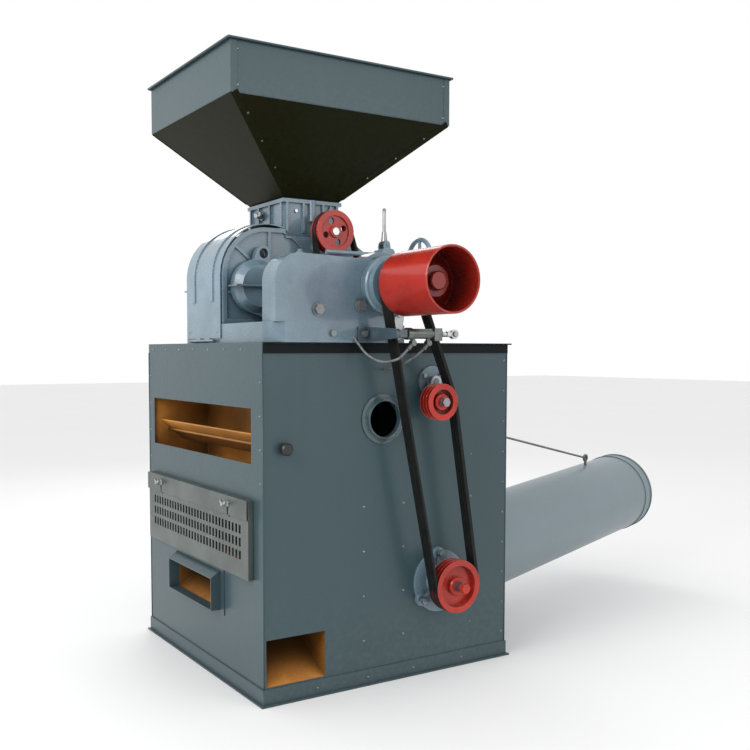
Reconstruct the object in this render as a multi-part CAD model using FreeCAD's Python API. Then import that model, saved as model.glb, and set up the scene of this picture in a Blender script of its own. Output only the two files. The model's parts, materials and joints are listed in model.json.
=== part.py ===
import FreeCAD, Part

import math
import os

os.makedirs("parts", exist_ok=True)

# Rubber-roll grain cleaner: a husking head with a feed hopper stands on an aspirating
# cabinet with a fan and an exhaust duct.
# Millimetres. The origin is the centre of the cabinet's footprint on the floor. The belt
# side faces -Y, the window and louvre side faces -X, and the exhaust duct leaves to +X.

# Cabinet
cabinet_width = 985.0
cabinet_depth = 985.0
cabinet_height = 1140.0
sheet = 3.0
post_leg = 34.0
post_gauge = 4.0
base_rail_height = 52.0
base_rail_gauge = 5.0
base_rail_lip = 14.0
top_rail_height = 34.0
top_rail_gauge = 5.0
top_rail_overhang = 12.0

# Openings of the left side
window_width = 850.0
window_centre_y = 14.0
window_bottom = 756.0
window_height = 176.0
shutter_width = 876.0
shutter_centre_y = 14.0
shutter_bottom = 390.0
shutter_height = 252.0
shutter_depth = 16.0
shutter_band = 64.0
shutter_travel = 40.0
slot_rows = 3
slot_columns = 30
slot_width = 15.0
slot_height = 29.0
slot_row_pitch = 42.0
slot_pitch = 26.0
slot_top_margin = 20.0
knob_spacing = 596.0
spout_width = 376.0
spout_centre_y = 16.0
spout_bottom = 236.0
spout_height = 116.0
spout_reach = 38.0
spout_flange = 30.0

# Openings of the front
outlet_left = -484.0
outlet_width = 214.0
outlet_bottom = 58.0
outlet_height = 150.0
outlet_depth = 230.0
port_x = -48.0
port_z = 888.0
port_radius = 60.0
port_ring_radius = 83.0
port_ring_depth = 18.0
baffle_x = -421.0
baffle_z = 808.0
baffle_width = 118.0
baffle_gauge = 5.0
baffle_lean = 41.0
baffle_shaft_radius = 7.0
baffle_knob_radius = 20.0
channel_back = -262.0
channel_top = 1000.0
channel_low = 700.0
channel_sill_x = -430.0
channel_sill_z = 655.0

# Fan and exhaust duct
fan_x = 189.0
fan_z = 316.0
fan_shaft_radius = 17.0
impeller_radius = 168.0
impeller_width = 120.0
impeller_blades = 8
scroll_width = 190.0
scroll_radius = 226.0
scroll_centre_y = -216.0
scroll_inset = 69.0
fan_flange_radius = 108.0
duct_radius = 180.0
duct_length = 1390.0
duct_turn = 16.0
duct_rise = 4.0
duct_height = 325.0
duct_bead_inset = 62.0
duct_collar_radius = 205.0
duct_collar_gauge = 8.0
collar_sleeve_length = 45.0
eye_distance = 1060.0
stay_wall_z = 825.0
stay_radius = 4.5
air_tube_radius = 4.0

# Husking head
shaft_x = -43.0
shaft_z = 1326.0
roll_centre_distance = 225.0
slow_roll_drop = 45.0
roll_radius = 111.0
roll_length = 254.0
roll_core_radius = 88.0
shaft_radius = 25.0
swing_reach = 130.0
arm_shield_x = -350.0
arm_shield_z = 1332.0
arm_shield_radius = 90.0
arm_lug_x = -328.0
arm_lug_z = 1445.0
chamber_depth = 280.0
chamber_wall = 14.0
chamber_left = -474.0
chamber_right = 150.0
shoulder_x = 60.0
shoulder_z = 1498.0
shoulder_low_z = 1440.0
arch_x = -290.0
arch_z = 1368.0
arch_radius = 184.0
cover_gauge = 3.0
hinge_drop = 8.0
hinge_inset = 5.0
hinge_pin_radius = 3.0
hinge_knuckle_radius = 5.0
hinge_knuckle = 40.0
head_base_height = 64.0
head_base_left = -470.0
head_base_right = 155.0
head_base_front = -505.0
head_base_front_end = -48.0
head_base_step = -330.0
head_base_rear = 154.0
head_base_wall = 12.0
gear_case_back = -418.0
gear_case_left = -454.0
gear_case_corner = 88.0
gear_case_crown = 1421.0
gear_case_wall = 8.0
gear_module = 5.0
fast_teeth = 40
slow_teeth = 50
gear_width = 50.0
gear_backlash = 0.7
boss_radius = 97.0
boss_reach = 47.0

# Feed box and hopper
feed_box_left = -226.0
feed_box_right = -6.0
feed_box_front = -141.0
feed_box_rear = 121.0
feed_box_bottom = 1506.0
feed_box_top = 1645.0
feed_flange = 9.0
feed_flange_gauge = 13.0
feed_wall = 8.0
feed_roll_x = -83.0
feed_roll_z = 1528.0
feed_roll_radius = 40.0
feed_shaft_radius = 13.0
feed_pulley_radius = 74.0
feed_drive_radius = 100.0
feed_pulley_front = -252.0
feed_pulley_width = 46.0
hopper_width = 861.0
hopper_depth = 690.0
hopper_x = -95.0
hopper_y = -3.0
hopper_top = 2090.0
hopper_band_height = 169.0
hopper_lip = 10.0

# Main drive
drum_radius = 103.0
drum_length = 250.0
drum_front = -861.0
drum_wall = 7.0
drum_web_depth = 96.0
drum_hub_radius = 62.0
belt_count = 3
belt_pitch = 16.0
belt_top = 14.0
belt_bottom = 8.5
belt_thick = 10.0
belt_gap = 0.4
pulley_width = 48.0
pulley_front = -606.0
drive_pulley_radius = 66.0
fan_pulley_radius = 90.0
idler_x = 118.0
idler_z = 944.0
idler_radius = 61.0
idler_pivot_x = 150.0
idler_pivot_z = 1010.0
idler_flange_radius = 52.0

# Roll pressure gear
cylinder_x = -94.0
cylinder_y = -664.0
cylinder_z = 1167.0
cylinder_bore_radius = 16.0
cylinder_cap_radius = 19.0
cylinder_length = 118.0
bracket_foot = 10.0
eye_x = 113.0
press_lever_x = 122.0
press_lever_z = 1241.0
press_pin_radius = 8.0
wheel_x = 243.0
wheel_y = -300.0
wheel_z = 1450.0
wheel_radius = 72.0
lever_x = 88.0
lever_length = 138.0

# Fits and clearances
running_fit = 0.05
seat_gap = 0.3
shake = 1.0
bolt_radius = 6.0
screw_radius = 4.0

half_width = cabinet_width / 2
half_depth = cabinet_depth / 2
front_face = -half_depth
left_face = -half_width
plate_top = cabinet_height
head_base_top = plate_top + head_base_height
slow_x = shaft_x - math.sqrt(roll_centre_distance ** 2 - slow_roll_drop ** 2)
slow_z = shaft_z - slow_roll_drop
along_x = (slow_x - shaft_x) / roll_centre_distance
along_z = (slow_z - shaft_z) / roll_centre_distance
fast_pitch_radius = gear_module * fast_teeth / 2
slow_pitch_radius = gear_module * slow_teeth / 2
swing_x = shaft_x + along_x * fast_pitch_radius - swing_reach * along_z
swing_z = shaft_z + along_z * fast_pitch_radius + swing_reach * along_x


def vec(x, y, z):
    return FreeCAD.Vector(x, y, z)


X_AXIS = vec(1, 0, 0)
Y_AXIS = vec(0, 1, 0)
Z_AXIS = vec(0, 0, 1)


def block(x0, x1, y0, y1, z0, z1):
    return Part.makeBox(x1 - x0, y1 - y0, z1 - z0, vec(x0, y0, z0))


def rod_y(x, z, radius, y0, y1):
    return Part.makeCylinder(radius, y1 - y0, vec(x, y0, z), Y_AXIS)


def rod_x(y, z, radius, x0, x1):
    return Part.makeCylinder(radius, x1 - x0, vec(x0, y, z), X_AXIS)


def rod_z(x, y, radius, z0, z1):
    return Part.makeCylinder(radius, z1 - z0, vec(x, y, z0), Z_AXIS)


def fused(shapes):
    first, rest = shapes[0], shapes[1:]
    return first.multiFuse(rest).removeSplitter() if rest else first


def cut(shape, *tools):
    return shape.cut(list(tools))


def corner_wire(points, place):
    """A closed outline through points (a, b, corner radius), with tangent corner arcs."""
    edges = []
    joins = []
    count = len(points)
    for i in range(count):
        here = vec(points[i][0], points[i][1], 0)
        before = vec(*points[i - 1][:2], 0) - here
        after = vec(*points[(i + 1) % count][:2], 0) - here
        radius = points[i][2] if len(points[i]) > 2 else 0
        if radius == 0:
            joins.append((here, None, here))
            continue
        before.normalize()
        after.normalize()
        half = before.getAngle(after) / 2
        leg = radius / math.tan(half)
        inward = (before + after).normalize()
        middle = here + inward * (radius / math.sin(half) - radius)
        joins.append((here + before * leg, middle, here + after * leg))
    for i in range(count):
        start, middle, end = joins[i]
        if middle is not None:
            edges.append(Part.Arc(place(start), place(middle), place(end)).toShape())
        following = joins[(i + 1) % count][0]
        if end.distanceToPoint(following) > 1e-6:
            edges.append(Part.LineSegment(place(end), place(following)).toShape())
    return Part.Wire(edges)


def prism_y(points, y0, y1):
    """An outline in the XZ plane, extruded from y0 to y1."""
    wire = corner_wire(points, lambda p: vec(p.x, y0, p.y))
    return Part.Face(wire).extrude(vec(0, y1 - y0, 0))


def prism_x(points, x0, x1):
    """An outline in the YZ plane, extruded from x0 to x1."""
    wire = corner_wire(points, lambda p: vec(x0, p.x, p.y))
    return Part.Face(wire).extrude(vec(x1 - x0, 0, 0))


def prism_z(points, z0, z1):
    """An outline in the XY plane, extruded from z0 to z1."""
    wire = corner_wire(points, lambda p: vec(p.x, p.y, z0))
    return Part.Face(wire).extrude(vec(0, 0, z1 - z0))


def turned_y(profile, x, z):
    """A profile of (radius, y) points revolved about a line along Y."""
    points = [vec(x + r, y, z) for r, y in profile]
    face = Part.Face(Part.makePolygon(points + points[:1]))
    return face.revolve(vec(x, 0, z), Y_AXIS, 360)


def turned_x(profile, y, z):
    """A profile of (radius, x) points revolved about a line along X."""
    points = [vec(x, y + r, z) for r, x in profile]
    face = Part.Face(Part.makePolygon(points + points[:1]))
    return face.revolve(vec(0, y, z), X_AXIS, 360)


def hull_spans(circles):
    """Tangent points of the band round circles (x, z, radius), taken counterclockwise."""
    spans = []
    for i, (x0, z0, r0) in enumerate(circles):
        x1, z1, r1 = circles[(i + 1) % len(circles)]
        heading = math.atan2(z1 - z0, x1 - x0)
        gap = math.hypot(x1 - x0, z1 - z0)
        out = heading - math.pi / 2 + math.asin((r1 - r0) / gap) * -1
        spans.append((out, (x0 + r0 * math.cos(out), z0 + r0 * math.sin(out)),
                      (x1 + r1 * math.cos(out), z1 + r1 * math.sin(out))))
    return spans


def hull_y(circles, y0, y1):
    """The band shape round circles, extruded along Y."""
    spans = hull_spans(circles)
    edges = []
    for i, (out, start, end) in enumerate(spans):
        edges.append(Part.LineSegment(vec(start[0], y0, start[1]), vec(end[0], y0, end[1])).toShape())
        x, z, r = circles[(i + 1) % len(circles)]
        turn = (spans[(i + 1) % len(spans)][0] - out) % (2 * math.pi)
        middle = out + turn / 2
        corner = spans[(i + 1) % len(spans)][1]
        edges.append(Part.Arc(vec(end[0], y0, end[1]),
                              vec(x + r * math.cos(middle), y0, z + r * math.sin(middle)),
                              vec(corner[0], y0, corner[1])).toShape())
    return Part.Face(Part.Wire(edges)).extrude(vec(0, y1 - y0, 0))


def save(name, shapes):
    solid = shapes if not isinstance(shapes, list) else Part.makeCompound(shapes)
    solid.exportStep("parts/" + name + ".step")


def bolt_y(x, z, seat_y, radius=bolt_radius, washer=None, outward=-1):
    """A hexagon bolt head with its washer, seated on a face square to Y."""
    washer = washer or radius * 2.0
    across = radius * 1.75
    head = [(x + across * math.cos(math.radians(60 * i)), z + across * math.sin(math.radians(60 * i)), 0)
            for i in range(6)]
    thick = radius * 0.5
    tall = radius * 1.3
    near, far = sorted((seat_y, seat_y + outward * thick))
    parts = [rod_y(x, z, washer, near, far)]
    near, far = sorted((seat_y + outward * thick, seat_y + outward * (thick + tall)))
    parts.append(prism_y(head, near, far))
    return fused(parts)


def pan_head(x, y, z, direction, radius=screw_radius):
    """A low domed screw or rivet head seated at a point, facing a direction."""
    head = Part.makeCone(radius * 1.2, radius * 0.7, radius * 0.6)
    spin = FreeCAD.Rotation(Z_AXIS, direction)
    head.Placement = FreeCAD.Placement(vec(x, y, z), spin)
    return head


def base_frame():
    out = base_rail_gauge
    wall = block(left_face - out, half_width + out, front_face - out, half_depth + out, 0, base_rail_height)
    wall = cut(wall, block(left_face, half_width, front_face, half_depth, -1, base_rail_height + 1))
    reach = base_rail_lip
    foot = block(left_face - reach, half_width + reach, front_face - reach, half_depth + reach, 0, out)
    inner = post_leg
    foot = cut(foot, block(left_face + inner, half_width - inner, front_face + inner, half_depth - inner, -1,
                           out + 1))
    rails = [block(left_face, half_width, y - inner, y + inner, 0, out) for y in (0, scroll_centre_y)]
    return fused([wall, foot] + rails)


def corner_posts():
    posts = []
    for sx in (-1, 1):
        for sy in (-1, 1):
            x, y = sx * (half_width - sheet), sy * (half_depth - sheet)
            low = base_rail_height if (sx, sy) != (-1, -1) else outlet_bottom + outlet_height + post_leg
            a = block(*sorted((x, x - sx * post_leg)), *sorted((y, y - sy * post_gauge)), low,
                      plate_top - sheet)
            b = block(*sorted((x, x - sx * post_gauge)), *sorted((y, y - sy * post_leg)), low,
                      plate_top - sheet)
            posts.append(fused([a, b]))
    return posts


def top_plate():
    plate = block(left_face, half_width, front_face, half_depth, plate_top - sheet, plate_top)
    throat = block(chamber_left + 40, shaft_x + roll_radius, -roll_length / 2, roll_length / 2,
                   plate_top - sheet - 1, plate_top + 1)
    return cut(plate, throat)


def front_top_rail():
    y = front_face
    face = block(left_face, half_width, y - top_rail_gauge, y, plate_top - top_rail_height, plate_top)
    cap = block(left_face, half_width + top_rail_overhang, y - top_rail_overhang, y,
                plate_top - top_rail_gauge, plate_top)
    return fused([face, cap])


def front_panel():
    panel = block(left_face, half_width, front_face, front_face + sheet, base_rail_gauge, plate_top - sheet)
    y0, y1 = front_face - 1, front_face + sheet + 1
    return cut(panel,
               rod_y(port_x, port_z, port_radius, y0, y1),
               block(outlet_left, outlet_left + outlet_width, y0, y1, outlet_bottom,
                     outlet_bottom + outlet_height),
               rod_y(fan_x, fan_z, fan_shaft_radius + shake, y0, y1),
               rod_y(baffle_x, baffle_z, baffle_shaft_radius + running_fit, y0, y1))


def rear_panel():
    panel = block(left_face, half_width, half_depth - sheet, half_depth, base_rail_gauge, plate_top - sheet)
    bore = rod_y(baffle_x, baffle_z, baffle_shaft_radius + running_fit, half_depth - sheet - 1,
                 half_depth + 1)
    return cut(panel, bore)


def left_panel():
    inner = half_depth - sheet
    panel = block(left_face, left_face + sheet, -inner, inner, base_rail_gauge, plate_top - sheet)
    x0, x1 = left_face - 1, left_face + sheet + 1
    w0 = window_centre_y - window_width / 2
    s0 = shutter_centre_y - shutter_width / 2 + 30
    p0 = spout_centre_y - spout_width / 2
    studs = [rod_x(shutter_centre_y + side * knob_spacing / 2, knob_z(), screw_radius + shake, x0, x1)
             for side in (-1, 1)]
    return cut(panel,
               block(x0, x1, w0, w0 + window_width, window_bottom, window_bottom + window_height),
               block(x0, x1, s0, s0 + shutter_width - 60, shutter_bottom + 30,
                     shutter_bottom + shutter_height - shutter_band - 20),
               block(x0, x1, p0, p0 + spout_width, spout_bottom, spout_bottom + spout_height), *studs)


def duct_axis():
    turn, rise = math.radians(duct_turn), math.radians(duct_rise)
    return vec(math.cos(turn) * math.cos(rise), math.sin(turn) * math.cos(rise), math.sin(rise))


def duct_start():
    return vec(half_width - 20, scroll_centre_y, duct_height)


def right_panel():
    inner = half_depth - sheet
    panel = block(half_width - sheet, half_width, -inner, inner, base_rail_gauge, plate_top - sheet)
    start = duct_start() - duct_axis() * 60
    return cut(panel, Part.makeCylinder(duct_radius + seat_gap, 160, start, duct_axis()))


def exhaust_duct():
    axis, start = duct_axis(), duct_start()
    tube = Part.makeCylinder(duct_radius, duct_length, start, axis)
    beads = []
    for place in (duct_length - duct_bead_inset, duct_length - 4):
        beads.append(Part.makeCylinder(duct_radius + 4, 7, start + axis * (place - 4), axis))
    shell = fused([tube] + beads)
    return cut(shell, Part.makeCylinder(duct_radius - sheet, duct_length + 40, start - axis * 20, axis))


def duct_collar():
    axis, start = duct_axis(), duct_start()
    ring = rod_x(start.y + axis.y / axis.x * (half_width - start.x), start.z + 5, duct_collar_radius,
                 half_width, half_width + duct_collar_gauge)
    sleeve = Part.makeCylinder(duct_radius + seat_gap + sheet, collar_sleeve_length, start, axis)
    sleeve = cut(sleeve, block(0, half_width, -half_depth, half_depth, 0, plate_top))
    return cut(fused([ring, sleeve]), Part.makeCylinder(duct_radius + seat_gap, 200, start - axis * 60, axis))


def stay_eye():
    axis, start = duct_axis(), duct_start()
    foot = start + axis * eye_distance + vec(0, 0, duct_radius - 2)
    shank = rod_z(foot.x, foot.y, 6, foot.z, foot.z + 26)
    side = vec(-axis.y, axis.x, 0).normalize()
    ring = Part.makeCylinder(17, 9, foot + vec(0, 0, 36) - side * 4.5, side)
    ring = cut(ring, Part.makeCylinder(8, 20, foot + vec(0, 0, 36) - side * 10, side))
    return cut(fused([shank, ring]), Part.makeCylinder(duct_radius, duct_length, start, axis))


def stay_rod():
    axis, start = duct_axis(), duct_start()
    eye = start + axis * eye_distance + vec(0, 0, duct_radius + 34)
    wall = vec(half_width + 10, start.y, stay_wall_z)
    line = (eye - wall).normalize()
    bar = Part.makeCylinder(stay_radius, eye.distanceToPoint(wall) - 9, wall, line)
    pad = rod_x(wall.y, wall.z, 22, half_width, half_width + 5)
    lug = rod_x(wall.y, wall.z, stay_radius * 2, half_width, half_width + 16)
    return fused([bar, pad, lug])


def separation_duct():
    """Folded sheet behind the window: inclined throat, back wall, floor and two end walls."""
    right, reach = shaft_x + roll_radius + 20, window_width / 2 + 12
    middle = window_centre_y
    left = left_face + sheet + 1
    profile = [(right, plate_top - sheet), (channel_back, channel_top), (channel_back, channel_low),
               (channel_sill_x, channel_sill_z)]
    thick = [(x + 3, z - 4) for x, z in reversed(profile)]
    sheetwork = prism_y(profile + thick, middle - reach, middle + reach)
    ends = []
    for side in (-1, 1):
        y = middle + side * reach
        outline = profile + [(left, channel_sill_z), (left, plate_top - sheet)]
        end = prism_y(outline, *sorted((y, y + side * sheet)))
        shaft = rod_y(baffle_x, baffle_z, baffle_shaft_radius + 3, y - 10, y + 10)
        post = block(left - 2, left + post_leg + 2, *sorted((y + side * 60, y - side * 10)), 0, plate_top)
        ends.append(cut(end, shaft) if side else cut(end, shaft, post))
    return fused([sheetwork] + ends)


def air_baffle():
    lean = math.radians(baffle_lean)
    reach = window_width / 2 - 6
    dx, dz = -math.cos(lean) * baffle_width / 2, math.sin(lean) * baffle_width / 2
    nx, nz = math.sin(lean) * baffle_gauge / 2, math.cos(lean) * baffle_gauge / 2
    plate = prism_y([(baffle_x + dx + nx, baffle_z + dz + nz), (baffle_x - dx + nx, baffle_z - dz + nz),
                     (baffle_x - dx - nx, baffle_z - dz - nz), (baffle_x + dx - nx, baffle_z + dz - nz)],
                    window_centre_y - reach, window_centre_y + reach)
    shaft = rod_y(baffle_x, baffle_z, baffle_shaft_radius, front_face - 12, half_depth + 6)
    return fused([plate, shaft])


def baffle_knob():
    y = front_face - seat_gap
    knob = turned_y([(0, y - 34), (baffle_knob_radius - 5, y - 34), (baffle_knob_radius, y - 28),
                     (baffle_knob_radius, y - 14), (baffle_knob_radius - 8, y - 8),
                     (baffle_knob_radius - 8, y), (0, y)], baffle_x, baffle_z)
    return cut(knob, rod_y(baffle_x, baffle_z, baffle_shaft_radius, front_face - 12, front_face + 1))


def knob_z():
    return shutter_bottom + shutter_height - 26


def shutter():
    """Air-inlet shutter: a folded tray with rows of upright slots below a plain raised band."""
    x = left_face
    y0 = shutter_centre_y - shutter_width / 2
    y1 = y0 + shutter_width
    z0, z1 = shutter_bottom, shutter_bottom + shutter_height
    step = z1 - shutter_band
    body = [(x - shutter_depth, z0), (x - shutter_depth, step), (x - shutter_depth - 6, step + 4),
            (x - shutter_depth - 6, z1 - 3), (x - 1, z1 - 3), (x - 1, z1), (x - shutter_depth - 9, z1),
            (x - shutter_depth - 9, step + 2), (x - shutter_depth - 3, step - 2),
            (x - shutter_depth - 3, z0 - 3),
            (x - 1, z0 - 3), (x - 1, z0)]
    face = prism_y(body, y0, y1)
    ends = [block(x - shutter_depth - 3, x - 1, y, y + sheet, z0, z1) for y in (y0, y1 - sheet)]
    holes = []
    first = shutter_centre_y - (slot_columns - 1) * slot_pitch / 2
    for row in range(slot_rows):
        top = step - slot_top_margin - row * slot_row_pitch
        for column in range(slot_columns):
            y = first + column * slot_pitch
            holes.append(block(x - 40, x - 8, y - slot_width / 2, y + slot_width / 2, top - slot_height, top))
    for side in (-1, 1):
        y = shutter_centre_y + side * knob_spacing / 2
        radius = screw_radius + shake
        holes.append(block(x - 40, x - 8, y - radius, y + radius, knob_z() - shutter_travel - radius,
                           knob_z() + radius))
    return cut(fused([face] + ends), *holes)


def wing_knob(side):
    x = left_face - shutter_depth - 9 - seat_gap
    y, z = shutter_centre_y + side * knob_spacing / 2, knob_z()
    hub = turned_x([(0, x - 22), (7, x - 22), (9, x - 6), (11, x), (0, x)], y, z)
    wings = [prism_x([(y + s * 5, z - 4), (y + s * 20, z + 2, 2), (y + s * 23, z + 13, 4),
                      (y + s * 15, z + 12, 2),
                      (y + s * 5, z + 5)], x - 18, x - 12) for s in (-1, 1)]
    stud = rod_x(y, z, screw_radius, x, left_face + 14)
    return fused([hub, stud] + wings)


def rice_spout():
    """Hooded spout: a flange on the panel and a hood with a sloping roof."""
    x = left_face
    y0 = spout_centre_y - spout_width / 2
    y1 = y0 + spout_width
    z0, z1 = spout_bottom, spout_bottom + spout_height
    m = spout_flange
    flange = block(x - sheet, x, y0 - m, y1 + m, z0 - m / 2, z1 + m)
    hood = prism_y([(x, z0), (x - spout_reach, z0), (x - spout_reach, z1 - 4), (x, z1 + m * 0.7)], y0 - 4,
                   y1 + 4)
    opening = block(x - spout_reach - 2, x + 1, y0, y1, z0 + 3, z1 - 7)
    return cut(fused([flange, hood]), opening)


def chute_box(x0, x1, y0, y1, z0, z1, open_side):
    """A sheet box, open on the named side, with a floor that slopes to it."""
    outer = block(x0, x1, y0, y1, z0, z1)
    g = sheet
    inner_low = [x0 + g, x1 - g, y0 + g, y1 - g, z0 + g, z1 - g]
    if open_side == "front":
        inner_low[2] = y0 - 1
        ramp = prism_x([(y0, z0 + g), (y1 - g, z0 + g), (y1 - g, z1 - 3 * g)], x0 + g, x1 - g)
    else:
        inner_low[0] = x0 - 1
        ramp = prism_y([(x0, z0 + g), (x1 - g, z0 + g), (x1 - g, z1 - 3 * g)], y0 + g, y1 - g)
    return fused([cut(outer, block(*inner_low)), ramp])


def outlet_chute():
    return chute_box(outlet_left - 2, outlet_left + outlet_width + 3, front_face + sheet,
                     front_face + sheet + outlet_depth, outlet_bottom - 3, outlet_bottom + outlet_height + 3,
                     "front")


def spout_chute():
    y0 = spout_centre_y - spout_width / 2
    return chute_box(left_face + sheet, left_face + sheet + 180, y0 - 3, y0 + spout_width + 3,
                     spout_bottom - 3, spout_bottom + spout_height + 3, "left")


def port_ring():
    y = front_face
    ring = turned_y([(port_radius, y), (port_ring_radius, y), (port_ring_radius, y - 5),
                     (port_ring_radius - 7, y - 8), (port_radius + 8, y - 8),
                     (port_radius + 6, y - port_ring_depth), (port_radius, y - port_ring_depth)], port_x,
                    port_z)
    return ring


def fan_scroll():
    """Fan housing: a round drum with a flat outlet that leads to the duct."""
    y0 = scroll_centre_y - scroll_width / 2
    y1 = y0 + scroll_width
    right = half_width - sheet - scroll_inset

    def body(grow):
        drum = rod_y(fan_x, fan_z, scroll_radius + grow, y0 - grow, y1 + grow)
        outlet = block(fan_x, right + (0 if grow else 5), y0 - grow, y1 + grow,
                       duct_height - 150 - grow, duct_height + 150 + grow)
        return fused([drum, outlet])

    shell = cut(body(sheet), body(0))
    inlet = rod_y(fan_x, fan_z, impeller_radius * 0.7, y1 - 1, y1 + sheet + 1)
    shaft = rod_y(fan_x, fan_z, fan_shaft_radius + shake, y0 - sheet - 1, y0 + 1)
    feet = [block(fan_x + s * 120 - 20, fan_x + s * 120 + 20, y0, y1, base_rail_gauge, fan_z - 150)
            for s in (-1, 1)]
    feet = [cut(foot, body(sheet)) for foot in feet]
    return cut(fused([shell] + feet), inlet, shaft)


def fan_bearing():
    """Ribbed bearing flange with three bolt lugs on the front panel."""
    y = front_face
    plate = rod_y(fan_x, fan_z, fan_flange_radius, y - 8, y)
    hub = turned_y([(0, y), (58, y - 8), (46, y - 40), (0, y - 40)], fan_x, fan_z)
    ribs = []
    for i in range(3):
        a = math.radians(95 + 120 * i)
        rib = block(40, fan_flange_radius + 8, y - 22, y, -5, 5)
        lug = rod_y(fan_flange_radius - 10, 0, 22, y - 14, y)
        for piece in (rib, lug):
            piece.rotate(vec(0, 0, 0), Y_AXIS, -math.degrees(a))
            piece.translate(vec(fan_x, 0, fan_z))
            ribs.append(piece)
    return cut(fused([plate, hub] + ribs),
               rod_y(fan_x, fan_z, fan_shaft_radius + running_fit, y - 60, y + 10))


def fan_bearing_bolts():
    bolts = []
    for i in range(3):
        a = math.radians(95 + 120 * i)
        reach = fan_flange_radius - 10
        bolts.append(bolt_y(fan_x + reach * math.cos(a), fan_z + reach * math.sin(a), front_face - 22, 7, 12))
    return bolts


def fan_shaft():
    return rod_y(fan_x, fan_z, fan_shaft_radius, pulley_front - 22, scroll_centre_y + impeller_width / 2)


def fan_impeller():
    y0 = scroll_centre_y - impeller_width / 2
    hub = rod_y(fan_x, fan_z, 42, y0, y0 + impeller_width)
    disc = rod_y(fan_x, fan_z, impeller_radius, y0, y0 + 4)
    blades = []
    for i in range(impeller_blades):
        blade = block(38, impeller_radius, y0, y0 + impeller_width, -2, 2)
        blade.rotate(vec(impeller_radius, 0, 0), Y_AXIS, 18)
        blade.rotate(vec(0, 0, 0), Y_AXIS, 360 * i / impeller_blades)
        blade.translate(vec(fan_x, 0, fan_z))
        blades.append(blade)
    wheel = fused([hub, disc] + blades)
    limit = rod_y(fan_x, fan_z, impeller_radius, y0, y0 + impeller_width)
    return cut(wheel.common(limit), rod_y(fan_x, fan_z, fan_shaft_radius, y0 - 1, y0 + impeller_width + 1))


def cabinet_rivets():
    """Round heads along the edges of the left and front panels."""
    heads = []
    x = left_face
    left = -X_AXIS
    for y in range(-340, 441, 130):
        heads.append(pan_head(x, y, plate_top - 22, left))
    for z in range(700, 1080, 105):
        for y in (-472, 476):
            heads.append(pan_head(x, y, z, left))
    for z in range(90, 1081, 110):
        heads.append(pan_head(half_width - 14, front_face, z, -Y_AXIS))
    for column, top in ((-120, 740), (40, 700), (330, 800)):
        for z in range(150, top, 150):
            heads.append(pan_head(column, front_face, z, -Y_AXIS))
    for px in (-300, -105, 80, 290):
        heads.append(pan_head(px, front_face - base_rail_gauge, base_rail_height / 2, -Y_AXIS))
    return heads


def head_base():
    """Cast tray that carries the head: an upright wall with an inward flange and feet."""
    def outline(inset):
        i = inset
        return [(head_base_left + i, head_base_front + i, 60 - i),
                (head_base_front_end - i, head_base_front + i),
                (head_base_front_end - i, head_base_step + i), (head_base_right - i, head_base_step + i),
                (head_base_right - i, head_base_rear - i), (head_base_left + i, head_base_rear - i)]
    ring = cut(prism_z(outline(0), plate_top, head_base_top),
               prism_z(outline(head_base_wall), plate_top - 1, head_base_top + 1))
    inner = chamber_depth / 2
    seat = block(head_base_left + 1, head_base_right - 1, -inner - chamber_wall, -inner, plate_top,
                 head_base_top)
    return fused([ring, seat])


def base_bolts():
    bolts = []
    for x, seat_y in ((-135, head_base_front - bracket_foot), (-250, head_base_front)):
        bolts.append(bolt_y(x, plate_top + head_base_height * 0.45, seat_y, 6, 11))
    return bolts


def chamber_outline(grow=0):
    """Cross-section of the roll chamber: upright left side, round arch, sloping right shoulder."""
    r = arch_radius - 6 + grow
    left = arch_x - r
    foot = head_base_top
    return [(left, foot), (left, arch_z + r * 0.95, r * 0.93), (arch_x + 60, arch_z + r * 0.95, 10),
            (feed_box_left + 30, feed_box_bottom + 18), (feed_box_right, feed_box_bottom),
            (shoulder_x, shoulder_z + grow, 20), (chamber_right + grow, shoulder_low_z + grow, 40),
            (chamber_right + grow, foot)]


def chamber_end(side):
    """End wall casting with a ring rib, radial ribs and the two shaft openings."""
    inner = side * chamber_depth / 2
    outer = inner + side * chamber_wall
    y0, y1 = sorted((inner, outer))
    wall = prism_y(chamber_outline(), y0, y1)
    recess_depth = chamber_wall * 0.5
    f0, f1 = sorted((outer + side, outer - side * recess_depth))
    dish = rod_y(arch_x, arch_z, arch_radius - 22, f0, f1).fuse(
        block(arch_x - arch_radius + 22, shaft_x - 90, f0, f1, head_base_top + 18, arch_z))
    wall = cut(wall, dish.common(prism_y(chamber_outline(-16), f0, f1)))
    ribs = []
    r0, r1 = sorted((outer - side * recess_depth, outer))
    for angle in (38, 90, 142, 200):
        rib = block(60, arch_radius - 18, r0, r1, -5, 5)
        rib.rotate(vec(0, 0, 0), Y_AXIS, -angle)
        rib.translate(vec(arch_x, 0, arch_z))
        ribs.append(rib)
    wall = fused([wall] + ribs)
    holes = [rod_y(slow_x, slow_z, shaft_radius + 16, y0 - 2, y1 + 2),
             rod_y(shaft_x, shaft_z, shaft_radius + shake, y0 - 2, y1 + 2)]
    holes.append(block(feed_box_left - 1, feed_box_right + 1, y0 - 2, y1 + 2, feed_box_bottom, feed_box_top))
    return cut(wall, *holes)


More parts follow.
